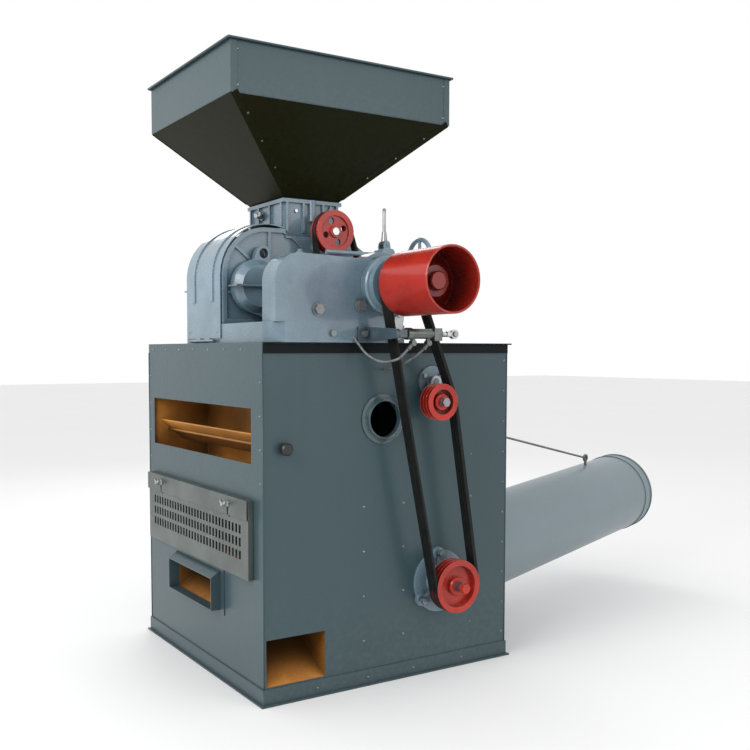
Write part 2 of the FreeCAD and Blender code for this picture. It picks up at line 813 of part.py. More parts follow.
def chamber_shoulder():
    """Sheet over the right side of the chamber, from the feed box down to the tray."""
    g = 5.0
    y = chamber_depth / 2 - seat_gap
    path = [(feed_box_right + 1, feed_box_bottom), (shoulder_x, shoulder_z, 20),
            (chamber_right, shoulder_low_z, 40), (chamber_right, head_base_top)]
    back = [(x - g, z - g) + tuple(r) for x, z, *r in reversed(path[:3])]
    back[0] = (chamber_right - g, shoulder_low_z - g * 0.6, 36)
    profile = path + [(chamber_right - g, head_base_top)] + back
    profile[-1] = (feed_box_right + 1, feed_box_bottom - g)
    return prism_y(profile, -y, y)


def roll_cover():
    """Arched guard over the slow roll, with two pressed beads, hinged at its foot on the left."""
    half = chamber_depth / 2

    def arch(radius, y0, y1, stop):
        left = arch_x - radius
        crown = math.sqrt(max(radius ** 2 - (stop - arch_x) ** 2, 0)) + arch_z
        lean = math.atan2(crown - arch_z, stop - arch_x)
        mid = (math.pi + lean) / 2
        edges = [Part.LineSegment(vec(stop, y0, head_base_top), vec(left, y0, head_base_top)).toShape(),
                 Part.LineSegment(vec(left, y0, head_base_top), vec(left, y0, arch_z)).toShape(),
                 Part.Arc(vec(left, y0, arch_z),
                          vec(arch_x + radius * math.cos(mid), y0, arch_z + radius * math.sin(mid)),
                          vec(stop, y0, crown)).toShape(),
                 Part.LineSegment(vec(stop, y0, crown), vec(stop, y0, head_base_top)).toShape()]
        return Part.Face(Part.Wire(edges)).extrude(vec(0, y1 - y0, 0))

    stop = feed_box_left - feed_flange - 3
    r = arch_radius
    shell = arch(r, -half - 4, half + 4, stop).cut(arch(r - cover_gauge, -half - 5, half + 5, stop + 1))
    beads = []
    for y in (-half * 0.55, half * 0.55):
        bead = arch(r + 4, y - 13, y + 13, stop - 14).cut(arch(r - 0.5, y - 14, y + 14, stop - 13))
        beads.append(bead.cut(block(arch_x - r - 9, arch_x - r + 9, y - 20, y + 20, head_base_top - 1,
                                    head_base_top + 78)))
    left = arch_x - r
    skirt = block(left, left + cover_gauge, -half - 4, half + 4, plate_top + 16, head_base_top + 1)
    return fused([shell, skirt] + beads + cover_knuckles())


def hinge_x():
    return arch_x - arch_radius - hinge_inset


def hinge_z():
    return plate_top + hinge_drop


def knuckle_spans(moving):
    """Spans along Y of the hinge knuckles: three fixed ones with two moving ones between."""
    first = -2.5 * hinge_knuckle
    trim = seat_gap if moving else 0
    return [(first + i * hinge_knuckle + trim, first + (i + 1) * hinge_knuckle - trim)
            for i in range(1 if moving else 0, 5, 2)]


def cover_hinge():
    """Pin and fixed knuckles of the guard's hinge, with their leaves on the tray."""
    pieces = [rod_y(hinge_x(), hinge_z(), hinge_pin_radius, -2.5 * hinge_knuckle, 2.5 * hinge_knuckle)]
    for y0, y1 in knuckle_spans(False):
        pieces.append(rod_y(hinge_x(), hinge_z(), hinge_knuckle_radius, y0, y1))
        pieces.append(block(hinge_x(), head_base_left, y0, y1, plate_top + 2, hinge_z()))
    return fused(pieces)


def cover_knuckles():
    """Moving knuckles, each with a tab up to the guard's skirt."""
    skirt = arch_x - arch_radius + cover_gauge
    pieces = []
    for y0, y1 in knuckle_spans(True):
        knuckle = rod_y(hinge_x(), hinge_z(), hinge_knuckle_radius, y0, y1)
        tab = block(skirt - cover_gauge * 2, skirt, y0, y1, hinge_z(), plate_top + 17)
        bore = rod_y(hinge_x(), hinge_z(), hinge_pin_radius + running_fit, y0 - 1, y1 + 1)
        pieces.append(cut(fused([knuckle, tab]), bore))
    return pieces


def cover_screws():
    x = arch_x - arch_radius
    return [pan_head(x, y, head_base_top - 24, -X_AXIS, 5) for y in (-118, 118)]


def gear_case():
    """Closed gear casing: front body with a crowned top, round end about the main shaft, sump."""
    back, front = gear_case_back, head_base_front
    w = gear_case_wall
    top = gear_case_crown

    def body(i, y0, y1):
        return prism_y([(gear_case_left + i, head_base_top + (0 if i == 0 else 0.5)),
                        (gear_case_left + i, top - i * 0.55, gear_case_corner - i),
                        (shaft_x - 15, top - 13 - i * 0.55, 20),
                        (shaft_x + 20, head_base_top + (0 if i == 0 else 0.5))], y0, y1)

    fast_tip = fast_pitch_radius + gear_module
    slow_tip = slow_pitch_radius + gear_module
    sump = hull_y([(slow_x, slow_z, slow_tip + 9), (slow_x + 40, slow_z, slow_tip + 9)],
                  front + head_base_wall + 1, back)
    sump = sump.common(block(-600, 200, -600, 0, plate_top + 2.5, head_base_top + 20))
    outer = fused([body(0, front, back), rod_y(shaft_x, shaft_z, fast_tip + 7, front + 18, back), sump])
    y0, y1 = front + w, back - w
    hollow = fused([rod_y(shaft_x, shaft_z, fast_tip + 2, front + 22, y1),
                    hull_y([(slow_x, slow_z, slow_tip + 1.5), (slow_x - 2.4, slow_z - 3.5, slow_tip + 1.5)],
                           front + head_base_wall + 4, y1)])
    hollow = hollow.common(block(-600, 200, -600, 0, plate_top + 5, 1500))
    boss = turned_y([(0, front + 2), (boss_radius, front + 2), (boss_radius, front - boss_reach * 0.45),
                     (boss_radius - 4, front - boss_reach * 0.55),
                     (boss_radius - 12, front - boss_reach * 0.6),
                     (boss_radius - 12, front - boss_reach), (0, front - boss_reach)], shaft_x, shaft_z)
    seam = rod_y(shaft_x, shaft_z, shaft_radius + shake, front - boss_reach - 1, back + 1)
    slow_way = hull_y([(slow_x, slow_z, shaft_radius + 3), (slow_x - 9, slow_z - 9, shaft_radius + 3)],
                      y1 - 2, back + 1)
    return cut(fused([outer, boss]), hollow, seam, slow_way)


def gear_case_bolts():
    bolts = []
    for x, z in ((-303, 1244), (-146, 1260)):
        bolts.append(bolt_y(x, z, head_base_front, 10, 21))
    return bolts


def oil_plug():
    x, z = gear_case_left + 110, gear_case_crown - 3
    return fused([rod_z(x, gear_case_back - 45, 11, z, z + 8),
                  rod_z(x, gear_case_back - 45, 7, z + 8, z + 15)])


def toothed_wheel(x, z, teeth, phase, y0, y1, bore):
    """A spur gear whose flanks pass through the root, pitch and tip circles."""
    pressure = math.radians(20)
    pitch = gear_module * teeth / 2
    base = pitch * math.cos(pressure)
    thick = (math.pi * gear_module / 2 - gear_backlash) / pitch / 2

    def half_angle(radius):
        def spread(r):
            a = math.acos(min(base / r, 1.0))
            return math.tan(a) - a
        return thick + spread(pitch) - spread(max(radius, base))

    radii = (pitch - 1.25 * gear_module, pitch, pitch + gear_module * 0.95)
    points = []
    for i in range(teeth):
        centre = phase + 2 * math.pi * i / teeth
        for radius in radii:
            a = centre - half_angle(radius)
            points.append((x + radius * math.cos(a), z + radius * math.sin(a)))
        for radius in reversed(radii):
            a = centre + half_angle(radius)
            points.append((x + radius * math.cos(a), z + radius * math.sin(a)))
    wheel = prism_y(points, y0, y1)
    groove = turned_y([(pitch * 0.45, y0 - 1), (pitch * 0.82, y0 - 1), (pitch * 0.82, y0 + 12),
                       (pitch * 0.45, y0 + 12)], x, z)
    return cut(wheel, rod_y(x, z, bore, y0 - 1, y1 + 1), groove)


def gear_span():
    y1 = gear_case_back - gear_case_wall - 3
    return y1 - gear_width, y1


def fast_gear():
    return toothed_wheel(shaft_x, shaft_z, fast_teeth, math.atan2(along_z, along_x), *gear_span(),
                         shaft_radius)


def slow_gear():
    phase = math.atan2(-along_z, -along_x) + math.pi / slow_teeth
    return toothed_wheel(slow_x, slow_z, slow_teeth, phase, *gear_span(), shaft_radius)


def roll(x, z):
    """Rubber sleeve bonded to an iron core drum, bored for its shaft."""
    half = roll_length / 2
    return cut(rod_y(x, z, roll_radius, -half, half), rod_y(x, z, roll_core_radius, -half - 1, half + 1))


def roll_core(x, z):
    half = roll_length / 2
    rim = turned_y([(shaft_radius, -half), (roll_core_radius, -half), (roll_core_radius, half),
                    (shaft_radius, half)], x, z)
    pockets = [turned_y([(shaft_radius + 22, s * half * 1.01), (roll_core_radius - 12, s * half * 1.01),
                         (roll_core_radius - 12, s * half * 0.3), (shaft_radius + 22, s * half * 0.3)], x, z)
               for s in (-1, 1)]
    return cut(rim, *pockets)


def main_shaft():
    return rod_y(shaft_x, shaft_z, shaft_radius, drum_front + drum_web_depth - 14, chamber_depth / 2 + 62)


def slow_shaft():
    return rod_y(slow_x, slow_z, shaft_radius, gear_span()[0] - 2, chamber_depth / 2 + 86)


def fast_bearing(side):
    """Plummer housing of the main shaft on the chamber wall, with four bolt lugs."""
    face = side * (chamber_depth / 2 + chamber_wall)
    y0, y1 = sorted((face, face + side * 42))
    hub = rod_y(shaft_x, shaft_z, 56, y0, y1)
    f0, f1 = sorted((face, face + side * 14))
    flange = hull_y([(shaft_x + 58 * a, shaft_z + 58 * b, 18) for a,
                     b in ((1, 1), (-1, 1), (-1, -1), (1, -1))], f0, f1)
    return cut(fused([hub, flange]), rod_y(shaft_x, shaft_z, shaft_radius + running_fit, y0 - 1, y1 + 1))


def fast_bearing_bolts():
    bolts = []
    for side in (-1, 1):
        face = side * (chamber_depth / 2 + chamber_wall + 14)
        for a, b in ((1, 1), (-1, 1), (-1, -1), (1, -1)):
            bolts.append(bolt_y(shaft_x + 60 * a, shaft_z + 60 * b, face, 6, 10, side))
    return bolts


def swing_arm(side):
    """Rocking bearing arm of the slow roll: pivot below, bearing housing, round shield, top lug."""
    face = side * (chamber_depth / 2 + chamber_wall + 4)
    y0, y1 = sorted((face, face + side * 26))
    b0, b1 = sorted((face, face + side * 52))
    web = hull_y([(swing_x, swing_z, 24), (arm_shield_x, arm_shield_z, arm_shield_radius + 2)], y0, y1)
    lug = hull_y([(arm_shield_x, arm_shield_z, 40), (arm_lug_x, arm_lug_z, 26)], y0, y1)
    housing = turned_y([(0, b0 if side > 0 else b1), (62, b0 if side > 0 else b1),
                        (54, b1 if side > 0 else b0),
                        (0, b1 if side > 0 else b0)], slow_x, slow_z)
    shield = turned_y([(0, y0), (arm_shield_radius, y0), (arm_shield_radius, y1),
                       (70, b1 if side > 0 else b0), (0, b1 if side > 0 else b0)]
                      if side > 0 else [(0, y1), (arm_shield_radius, y1), (arm_shield_radius, y0), (70, b0),
                                        (0, b0)], arm_shield_x, arm_shield_z)
    ledge = block(arm_shield_x - 100, arm_shield_x + 50, *sorted((face, face + side * 66)),
                  arm_shield_z - 3, arm_shield_z + 3)
    body = fused([web, lug, housing, shield, ledge])
    return cut(body, rod_y(slow_x, slow_z, shaft_radius + running_fit, b0 - 2, b1 + 2),
               rod_y(swing_x, swing_z, 12 + running_fit, b0 - 2, b1 + 2),
               rod_y(arm_lug_x, arm_lug_z, 17, b0 - 2, b1 + 2))


def swing_pins():
    """Pivot pins of the two rocking arms, pressed into the chamber's end walls."""
    pins = []
    for side in (-1, 1):
        face = side * (chamber_depth / 2 + chamber_wall)
        pin = rod_y(swing_x, swing_z, 12, *sorted((face, face + side * 40)))
        foot = hull_y([(swing_x, swing_z, 16), (swing_x + 40, swing_z, 16)], *sorted((face, face + side * 3)))
        pins.append(fused([pin, foot]))
    return pins


def feed_box():
    """Cast box under the hopper: flanges, upright ribs, bores of the feed roll, open through."""
    x0, x1, y0, y1 = feed_box_left, feed_box_right, feed_box_front, feed_box_rear
    z0, z1 = feed_box_bottom, feed_box_top
    f, g, w = feed_flange, feed_flange_gauge, feed_wall
    body = block(x0, x1, y0, y1, z0, z1)
    flange = block(x0 - f, x1 + f, y0 - f, y1 + f, z1 - g, z1)
    ribs = []
    for x in (x0 + 4, x0 + 70, x0 + 150, x1 - 12):
        ribs.append(block(x, x + 8, y0 - f, y0 + 1, z0 + 24, z1))
    for y in (y0 + 8, y0 + 95, y0 + 180, y1 - 16):
        ribs.append(block(x0 - f, x0 + 1, y, y + 8, z0 + 46, z1))
    column = rod_z(x0 + 110, y0 - 4, 13, z1 - 74, z1)
    brace = hull_y([(x0 + 150, z0 + 28, 5), (x0 + 186, z1 - 20, 5)], y0 - f, y0 + 1)
    boss = rod_y(feed_roll_x, feed_roll_z + 0, 30, y0 - 22, y0 + 1)
    inner = block(x0 + w, x1 - w, y0 + w, y1 - w, z0 - 50, z1 + 1)
    bore = rod_y(feed_roll_x, feed_roll_z, feed_shaft_radius + running_fit, y0 - 40, y1 + 10)
    gate = rod_y(gate_x(), gate_z(), 6 + running_fit, y0 - 2, y1 + 2)
    screw = rod_x(20, gate_z() - 4, 6 + running_fit, x0 - f - 1, x0 + w + 1)
    pad = rod_x(20, gate_z() - 4, 16, x0 - 8, x0 + 1)
    reach = chamber_depth / 2 + chamber_wall
    seat = block(x0, x1, -reach, reach, z0, z0 + 8)
    below = block(x0 - 50, x1 + 50, y0 - 60, y1 + 60, z0 - 60, z0)
    return cut(fused([body, flange, column, brace, boss, pad, seat] + ribs), inner, bore, gate, screw, below)


def gate_x():
    return feed_box_left + 46


def gate_z():
    return feed_box_top - 40


def feed_gate():
    """Flap that meters the grain over the feed roll."""
    y0, y1 = feed_box_front + feed_wall + 1, feed_box_rear - feed_wall - 1
    shaft = rod_y(gate_x(), gate_z(), 6, feed_box_front - 6, feed_box_rear + 6)
    flap = prism_y([(gate_x() - 3, gate_z()), (gate_x() + 3, gate_z()), (feed_roll_x - 42, feed_roll_z + 26),
                    (feed_roll_x - 47, feed_roll_z + 26)], y0, y1)
    return fused([shaft, flap])


def gate_knob():
    """Wing screw that sets the feed gate."""
    x = feed_box_left - feed_flange - 2
    y, z = 20, gate_z() - 4
    hub = turned_x([(0, x - 18), (8, x - 18), (10, x), (0, x)], y, z)
    wings = [prism_x([(y + s * 6, z - 5), (y + s * 24, z - 2, 2), (y + s * 28, z + 12, 4),
                      (y + s * 18, z + 12, 2),
                      (y + s * 6, z + 6)], x - 14, x - 7) for s in (-1, 1)]
    stem = rod_x(y, z, 6, x, feed_box_left + feed_wall)
    return fused([hub, stem] + wings)


def feed_roll():
    """Fluted metering roll with its shaft."""
    y0, y1 = feed_box_front + feed_wall + 2, feed_box_rear - feed_wall - 2
    body = rod_y(feed_roll_x, feed_roll_z, feed_roll_radius, y0, y1)
    flutes = []
    for i in range(12):
        a = math.radians(30 * i)
        flutes.append(rod_y(feed_roll_x + (feed_roll_radius + 2) * math.cos(a),
                            feed_roll_z + (feed_roll_radius + 2) * math.sin(a), 7, y0 - 1, y1 + 1))
    shaft = rod_y(feed_roll_x, feed_roll_z, feed_shaft_radius, feed_pulley_front - 4, feed_box_rear + 4)
    return fused([cut(body, *flutes), shaft])


def groove_profile(radius, y_front, width, count, inner):
    """Rim section with count trapezoid belt grooves, between y_front and y_front + width."""
    first = y_front + width / 2 - (count - 1) * belt_pitch / 2
    depth = belt_thick + 2
    gap = belt_gap
    points = [(inner, y_front), (radius, y_front)]
    for i in range(count):
        y = first + i * belt_pitch
        points += [(radius, y - belt_top / 2 - gap), (radius - depth, y - belt_bottom / 2 - gap + 0.4),
                   (radius - depth, y + belt_bottom / 2 + gap - 0.4), (radius, y + belt_top / 2 + gap)]
    points += [(radius, y_front + width), (inner, y_front + width)]
    return points


def feed_pulley():
    """Feed-roll pulley with two grooves, a web with four round holes, and a hub."""
    x, z, y = feed_roll_x, feed_roll_z, feed_pulley_front
    r = feed_pulley_radius
    rim = turned_y(groove_profile(r, y, feed_pulley_width, 2, r - 19), x, z)
    web = turned_y([(20, y + 6), (r - 18, y + 6), (r - 18, y + 16), (20, y + 16)], x, z)
    hub = turned_y([(feed_shaft_radius, y - 2), (20, y - 2), (24, y + 16), (24, y + feed_pulley_width),
                    (feed_shaft_radius, y + feed_pulley_width)], x, z)
    holes = []
    for i in range(4):
        a = math.radians(20 + 90 * i)
        holes.append(rod_y(x + 38 * math.cos(a), z + 38 * math.sin(a), 11, y, y + 30))
    return cut(fused([rim, web, hub]), *holes)


def feed_drive_pulley():
    y = feed_pulley_front
    r = feed_drive_radius
    rim = turned_y(groove_profile(r, y, feed_pulley_width, 2, r - 19), shaft_x, shaft_z)
    web = turned_y([(shaft_radius, y + 14), (r - 18, y + 14), (r - 18, y + 26), (shaft_radius, y + 26)],
                   shaft_x, shaft_z)
    hub = turned_y([(shaft_radius, y + 2), (42, y + 2), (42, y + 44), (shaft_radius, y + 44)], shaft_x,
                   shaft_z)
    return fused([rim, web, hub])


def belt_loop(circles, y):
    """One V-belt: its trapezoid section turned round each pulley and drawn straight between."""
    spans = hull_spans(circles)
    pieces = []
    for i, (out, start, end) in enumerate(spans):
        x0, z0 = circles[i][:2]
        nx, nz = math.cos(out), math.sin(out)

        def at(depth, side, sx=start[0], sz=start[1]):
            return vec(sx - nx * depth, y + side, sz - nz * depth)

        face = Part.Face(Part.makePolygon([at(0, -belt_top / 2), at(0, belt_top / 2),
                                           at(belt_thick, belt_bottom / 2),
                                           at(belt_thick, -belt_bottom / 2), at(0, -belt_top / 2)]))
        pieces.append(face.extrude(vec(end[0] - start[0], 0, end[1] - start[1])))
        turn = math.degrees((out - spans[i - 1][0]) % (2 * math.pi))
        pieces.append(face.revolve(vec(x0, y, z0), Y_AXIS, turn))
    return fused(pieces)


def drive_belts():
    circles = [(shaft_x, shaft_z, drive_pulley_radius), (fan_x, fan_z, fan_pulley_radius),
               (idler_x, idler_z, idler_radius)]
    middle = pulley_front + pulley_width / 2
    return [belt_loop(circles, middle + (i - (belt_count - 1) / 2) * belt_pitch) for i in range(belt_count)]


def feed_belts():
    circles = [(feed_roll_x, feed_roll_z, feed_pulley_radius), (shaft_x, shaft_z, feed_drive_radius)]
    middle = feed_pulley_front + feed_pulley_width / 2
    return [belt_loop(circles, middle + s * belt_pitch / 2) for s in (-1, 1)]


def grooved_pulley(x, z, radius, bore, web_depth):
    """Three-groove pulley, dished in front, with a hub that stands forward."""
    y, w = pulley_front, pulley_width
    rim = turned_y(groove_profile(radius, y, w, belt_count, radius - 19), x, z)
    web = turned_y([(bore, y + web_depth), (radius - 18, y + web_depth), (radius - 18, y + web_depth + 12),
                    (bore, y + web_depth + 12)], x, z)
    hub = turned_y([(bore, y + 3), (bore + 12, y + 3), (bore + 15, y + 8), (bore + 15, y + w), (bore, y + w)],
                   x, z)
    return fused([rim, web, hub])


def drive_pulley():
    profile = groove_profile(drive_pulley_radius, pulley_front, pulley_width, belt_count, shaft_radius)
    return turned_y(profile, shaft_x, shaft_z)


def fan_pulley():
    return grooved_pulley(fan_x, fan_z, fan_pulley_radius, fan_shaft_radius, 20)


def idler_pulley():
    return grooved_pulley(idler_x, idler_z, idler_radius, 14 + running_fit, 20)


def shaft_nut(x, z, radius, y):
    """Hexagon nut and washer on a shaft end that faces the front."""
    return bolt_y(x, z, y, radius, radius * 1.7)


def idler_bracket():
    """Round flange on the front panel with three bolts and the idler arm's pivot pin."""
    y = front_face
    plate = rod_y(idler_pivot_x, idler_pivot_z, idler_flange_radius, y - 9, y)
    pin = rod_y(idler_pivot_x, idler_pivot_z, 11, y - 36, y)
    collar = rod_y(idler_pivot_x, idler_pivot_z, 20, y - 13, y)
    return fused([plate, pin, collar])


def idler_bolts():
    bolts = []
    for i in range(3):
        a = math.radians(30 + 120 * i)
        reach = idler_flange_radius - 14
        bolts.append(bolt_y(idler_pivot_x + reach * math.cos(a), idler_pivot_z + reach * math.sin(a),
                            front_face - 9, 4.5, 8))
    return bolts


def idler_arm():
    """Tension arm from its pivot to the idler's stub shaft."""
    y = front_face - 22
    arm = hull_y([(idler_pivot_x, idler_pivot_z, 20), (idler_x, idler_z, 24)], y - 12, y)
    stub = rod_y(idler_x, idler_z, 14, pulley_front - 3, y)
    spacer = rod_y(idler_x, idler_z, 24, pulley_front + pulley_width + seat_gap, y)
    body = fused([arm, stub, spacer])
    return cut(body, rod_y(idler_pivot_x, idler_pivot_z, 11 + running_fit, y - 14, y + 2))


def drum():
    """Long flat-belt pulley: a tube open in front, with a deep dished web and a hub disc."""
    y0, y1 = drum_front, drum_front + drum_length
    r, w = drum_radius, drum_wall
    web = y0 + drum_web_depth
    profile = [(shaft_radius, web - 8), (drum_hub_radius - 14, web - 8), (drum_hub_radius - 10, web - 4),
               (drum_hub_radius, web + 4), (drum_hub_radius, web + 22), (r - w, web + 34), (r - w, y0 + 3),
               (r - w + 3, y0), (r - 2, y0), (r, y0 + 3), (r, y1 - 3), (r - 2, y1), (r - w, y1),
               (r - w, web + 48),
               (drum_hub_radius - 10, web + 36), (shaft_radius + 20, web + 36), (shaft_radius + 20, y1),
               (shaft_radius, y1)]
    return turned_y(profile, shaft_x, shaft_z)


def drum_cap():
    """Round end cap over the shaft end inside the drum."""
    web = drum_front + drum_web_depth - 8
    return turned_y([(0, web - 16), (26, web - 16), (30, web - 12), (30, web), (shaft_radius + 1, web),
                     (shaft_radius + 1, web - 7), (0, web - 7)], shaft_x, shaft_z)


def cylinder_bracket():
    """Forked arm from the tray to the air cylinder's rear pivot, left of the belts."""
    x0, x1 = cylinder_x - 26, cylinder_x - 14
    z = cylinder_z
    arm = prism_x([(head_base_front, z - 24), (head_base_front, z + 24), (cylinder_y + 40, z + 18, 6),
                   (cylinder_y - 14, z + 14, 10), (cylinder_y - 14, z - 14, 10),
                   (cylinder_y + 40, z - 18, 6)], x0, x1)
    foot = block(cylinder_x - 62, x1, head_base_front - bracket_foot, head_base_front, z - 24, z + 24)
    eye = rod_x(cylinder_y, z, 12, x0, cylinder_x - 10)
    fork = [block(cylinder_x - 10, cylinder_x + 12, cylinder_y - s - 3, cylinder_y - s + 3, z - 12, z + 12)
            for s in (-13, 13)]
    pin = rod_y(cylinder_x, z, 5, cylinder_y - 17, cylinder_y + 17)
    back = block(cylinder_x - 14, cylinder_x - 9, cylinder_y - 16, cylinder_y + 16, z - 12, z + 12)
    return fused([arm, foot, eye, back, pin] + fork)


def air_cylinder():
    """Pressure cylinder: rear clevis cap, barrel, front block and two hose fittings."""
    y, z = cylinder_y, cylinder_z
    x = cylinder_x
    tail = cut(hull_y([(x, z, 9), (x + 20, z, 9)], y - 9, y + 9), rod_y(x, z, 5 + seat_gap, y - 12, y + 12))
    rear = rod_x(y, z, cylinder_cap_radius, x + 18, x + 36)
    barrel = rod_x(y, z, cylinder_bore_radius, x + 30, x + cylinder_length)
    front = block(x + cylinder_length, x + cylinder_length + 30, y - 17, y + 17, z - 22, z + 18)
    nose = rod_x(y, z, 12, x + cylinder_length + 29, x + cylinder_length + 38)
    bore = rod_x(y, z, 6 + running_fit, x + 60, x + cylinder_length + 40)
    return cut(fused([tail, rear, barrel, front, nose]), bore)


def hose_fittings():
    """Two angled push-in fittings under the cylinder."""
    fittings = []
    for x in (cylinder_x + 44, cylinder_x + cylinder_length - 14):
        z = cylinder_z - cylinder_bore_radius + 1
        fittings.append(fused([rod_z(x, cylinder_y, 8, z - 14, z),
                               rod_y(x, z - 14, 9.5, cylinder_y - 9, cylinder_y + 9),
                               Part.makeCylinder(7, 26, vec(x, cylinder_y, z - 14), vec(-0.62, 0.1, -0.78))]))
    return fittings


def cylinder_rod():
    """Piston rod with the eye that takes the lever's pin."""
    y, z = cylinder_y, cylinder_z
    start = cylinder_x + 66
    rod = rod_x(y, z, 6, start, eye_x - 13)
    eye = cut(rod_y(eye_x, z, 15, y - 8, y + 8), rod_y(eye_x, z, press_pin_radius + shake, y - 9, y + 9))
    nut = rod_x(y, z, 9, eye_x - 30, eye_x - 13)
    return fused([rod, nut, eye])


def press_lever():
    """Lever beside the belts: cross shaft, hanging arm and the long pin to the cylinder's eye."""
    back = head_base_step - 3
    arm = hull_y([(press_lever_x, press_lever_z, 20), (eye_x, cylinder_z, 16)], back - 16, back - 2)
    shaft = rod_y(press_lever_x, press_lever_z, 11, back - 20, head_base_step + 78)
    pin = rod_y(eye_x, cylinder_z, press_pin_radius, cylinder_y - 14, back - 2)
    washer = rod_y(eye_x, cylinder_z, 12, cylinder_y + 10, cylinder_y + 14)
    return fused([arm, shaft, pin, washer])


def adjuster_bracket():
    """Casting on the tray that carries the pressure screw, the hand lever and the cross shaft."""
    x0, x1 = 70.0, 132.0
    y0, y1 = head_base_step + 2, head_base_step + 58
    foot = head_base_top
    body = prism_y([(x0 - 6, foot), (x1 + 14, foot), (x1 + 12, foot + 60, 14), (112, wheel_z + 22, 14),
                    (62, wheel_z + 22, 14), (66, foot + 60, 10)], y0, y1)
    holes = [rod_y(press_lever_x, press_lever_z, 11 + running_fit, y0 - 2, y1 + 2),
             rod_x(wheel_y, wheel_z, 8 + running_fit, 20, 160),
             block(84, 92, y0 + 8, y1 - 8, wheel_z - 60, wheel_z - 14)]
    return cut(body, *holes)


def handwheel():
    """Pressure-adjusting handwheel: dished rim, three spokes, hub and its screw."""
    y, z, x = wheel_y, wheel_z, wheel_x
    r = wheel_radius
    rim = turned_x([(r - 15, x - 4), (r - 11, x - 8), (r - 4, x - 8), (r, x - 4), (r, x + 4), (r - 4, x + 8),
                    (r - 11, x + 8), (r - 15, x + 4)], y, z)
    hub = turned_x([(0, x - 16), (17, x - 16), (20, x - 6), (20, x + 6), (12, x + 10), (0, x + 10)], y, z)
    spokes = []
    for i in range(3):
        spoke = Part.makeCylinder(6, wheel_radius - 10, vec(x, y, z),
                                  vec(0, math.sin(i * 2.0944), math.cos(i * 2.0944)))
        spokes.append(spoke)
    screw = rod_x(y, z, 8, -150, x - 10)
    return fused([rim, hub, screw] + spokes)


def engage_lever():
    """Hand lever: a fork on the bracket's crown and a straight round handle."""
    base = wheel_z + 22
    y = wheel_y
    boss = rod_y(lever_x, base + 16, 14, y - 12, y + 12)
    socket = Part.makeCone(12, 8, 40, vec(lever_x, y, base + 20), Z_AXIS)
    handle = rod_z(lever_x, y, 6, base + 50, base + lever_length)
    tip = Part.makeCone(7.5, 4, 8, vec(lever_x, y, base + lever_length - 4), Z_AXIS)
    return cut(fused([boss, socket, handle, tip]), rod_y(lever_x, base + 16, 5 + running_fit, y - 20, y + 20))


def lever_fork():
    base = wheel_z + 22
    y = wheel_y
    cheeks = [hull_y([(lever_x, base + 16, 12), (lever_x, base + 6, 14)], y + s * 16 - 3, y + s * 16 + 3)
              for s in (-1, 1)]
    cheeks = [cheek.common(block(0, 200, -600, 0, base, base + 60)) for cheek in cheeks]
    seat = block(lever_x - 14, lever_x + 14, y - 19, y + 19, base, base + 1.4)
    pin = rod_y(lever_x, base + 16, 5, y - 22, y + 22)
    return fused(cheeks + [seat, pin])


def curved_tube(points, radius):
    """A tube along straight runs joined by tangent arcs."""
    points = [vec(*p) for p in points]
    edges = []
    start = points[0]
    for i in range(1, len(points) - 1):
        before, here, after = points[i - 1], points[i], points[i + 1]
        a, b = before - here, after - here
        run = min(a.Length, b.Length)
        a.normalize()
        b.normalize()
        half = a.getAngle(b) / 2
        leg = 0.45 * run
        bend = leg * math.tan(half)
        middle = here + (a + b).normalize() * (bend / math.sin(half) - bend)
        edges.append(Part.LineSegment(start, here + a * leg).toShape())
        edges.append(Part.Arc(here + a * leg, middle, here + b * leg).toShape())
        start = here + b * leg
    edges.append(Part.LineSegment(start, points[-1]).toShape())
    path = Part.Wire(edges)
    ring = Part.Wire([Part.makeCircle(radius, points[0], points[1] - points[0])])
    return path.makePipeShell([ring], True, False)


def air_tube_left():
    x = cylinder_x + 44 - 16
    z = cylinder_z - cylinder_bore_radius - 33
    tube = curved_tube([(x, cylinder_y + 3, z), (x - 24, cylinder_y + 14, z - 30),
                        (x - 56, cylinder_y + 60, z - 44),
                        (x - 84, cylinder_y + 110, z - 20), (x - 104, head_base_front + 4, z + 42)],
                       air_tube_radius)
    wall = block(-400, 0, head_base_front, 0, plate_top, head_base_top)
    return cut(tube, wall, *hose_fittings())


def air_tube_right():
    x = cylinder_x + cylinder_length - 30
    z = cylinder_z - cylinder_bore_radius - 33
    tube = curved_tube([(x, cylinder_y + 3, z), (x - 22, cylinder_y + 22, z - 26),
                        (x - 34, cylinder_y + 80, z - 52),
                         (x - 36, cylinder_y + 130, z - 62), (x - 34, front_face + 2, z - 66)],
                       air_tube_radius)
    wall = block(-400, 400, front_face, 0, 0, plate_top)
    return cut(tube, wall, *hose_fittings())


def hopper_band():
    """Upright band of the hopper with a small outward lip."""
    x0, x1 = hopper_x - hopper_width / 2, hopper_x + hopper_width / 2
    y0, y1 = hopper_y - hopper_depth / 2, hopper_y + hopper_depth / 2
    z0, z1 = hopper_top - hopper_band_height, hopper_top
    g, lip = sheet, hopper_lip
    ring = block(x0, x1, y0, y1, z0, z1)
    rim = block(x0 - lip, x1 + lip, y0 - lip, y1 + lip, z1 - g, z1)
    return cut(fused([ring, rim]), block(x0 + g, x1 - g, y0 + g, y1 - g, z0 - 1, z1 + 1))


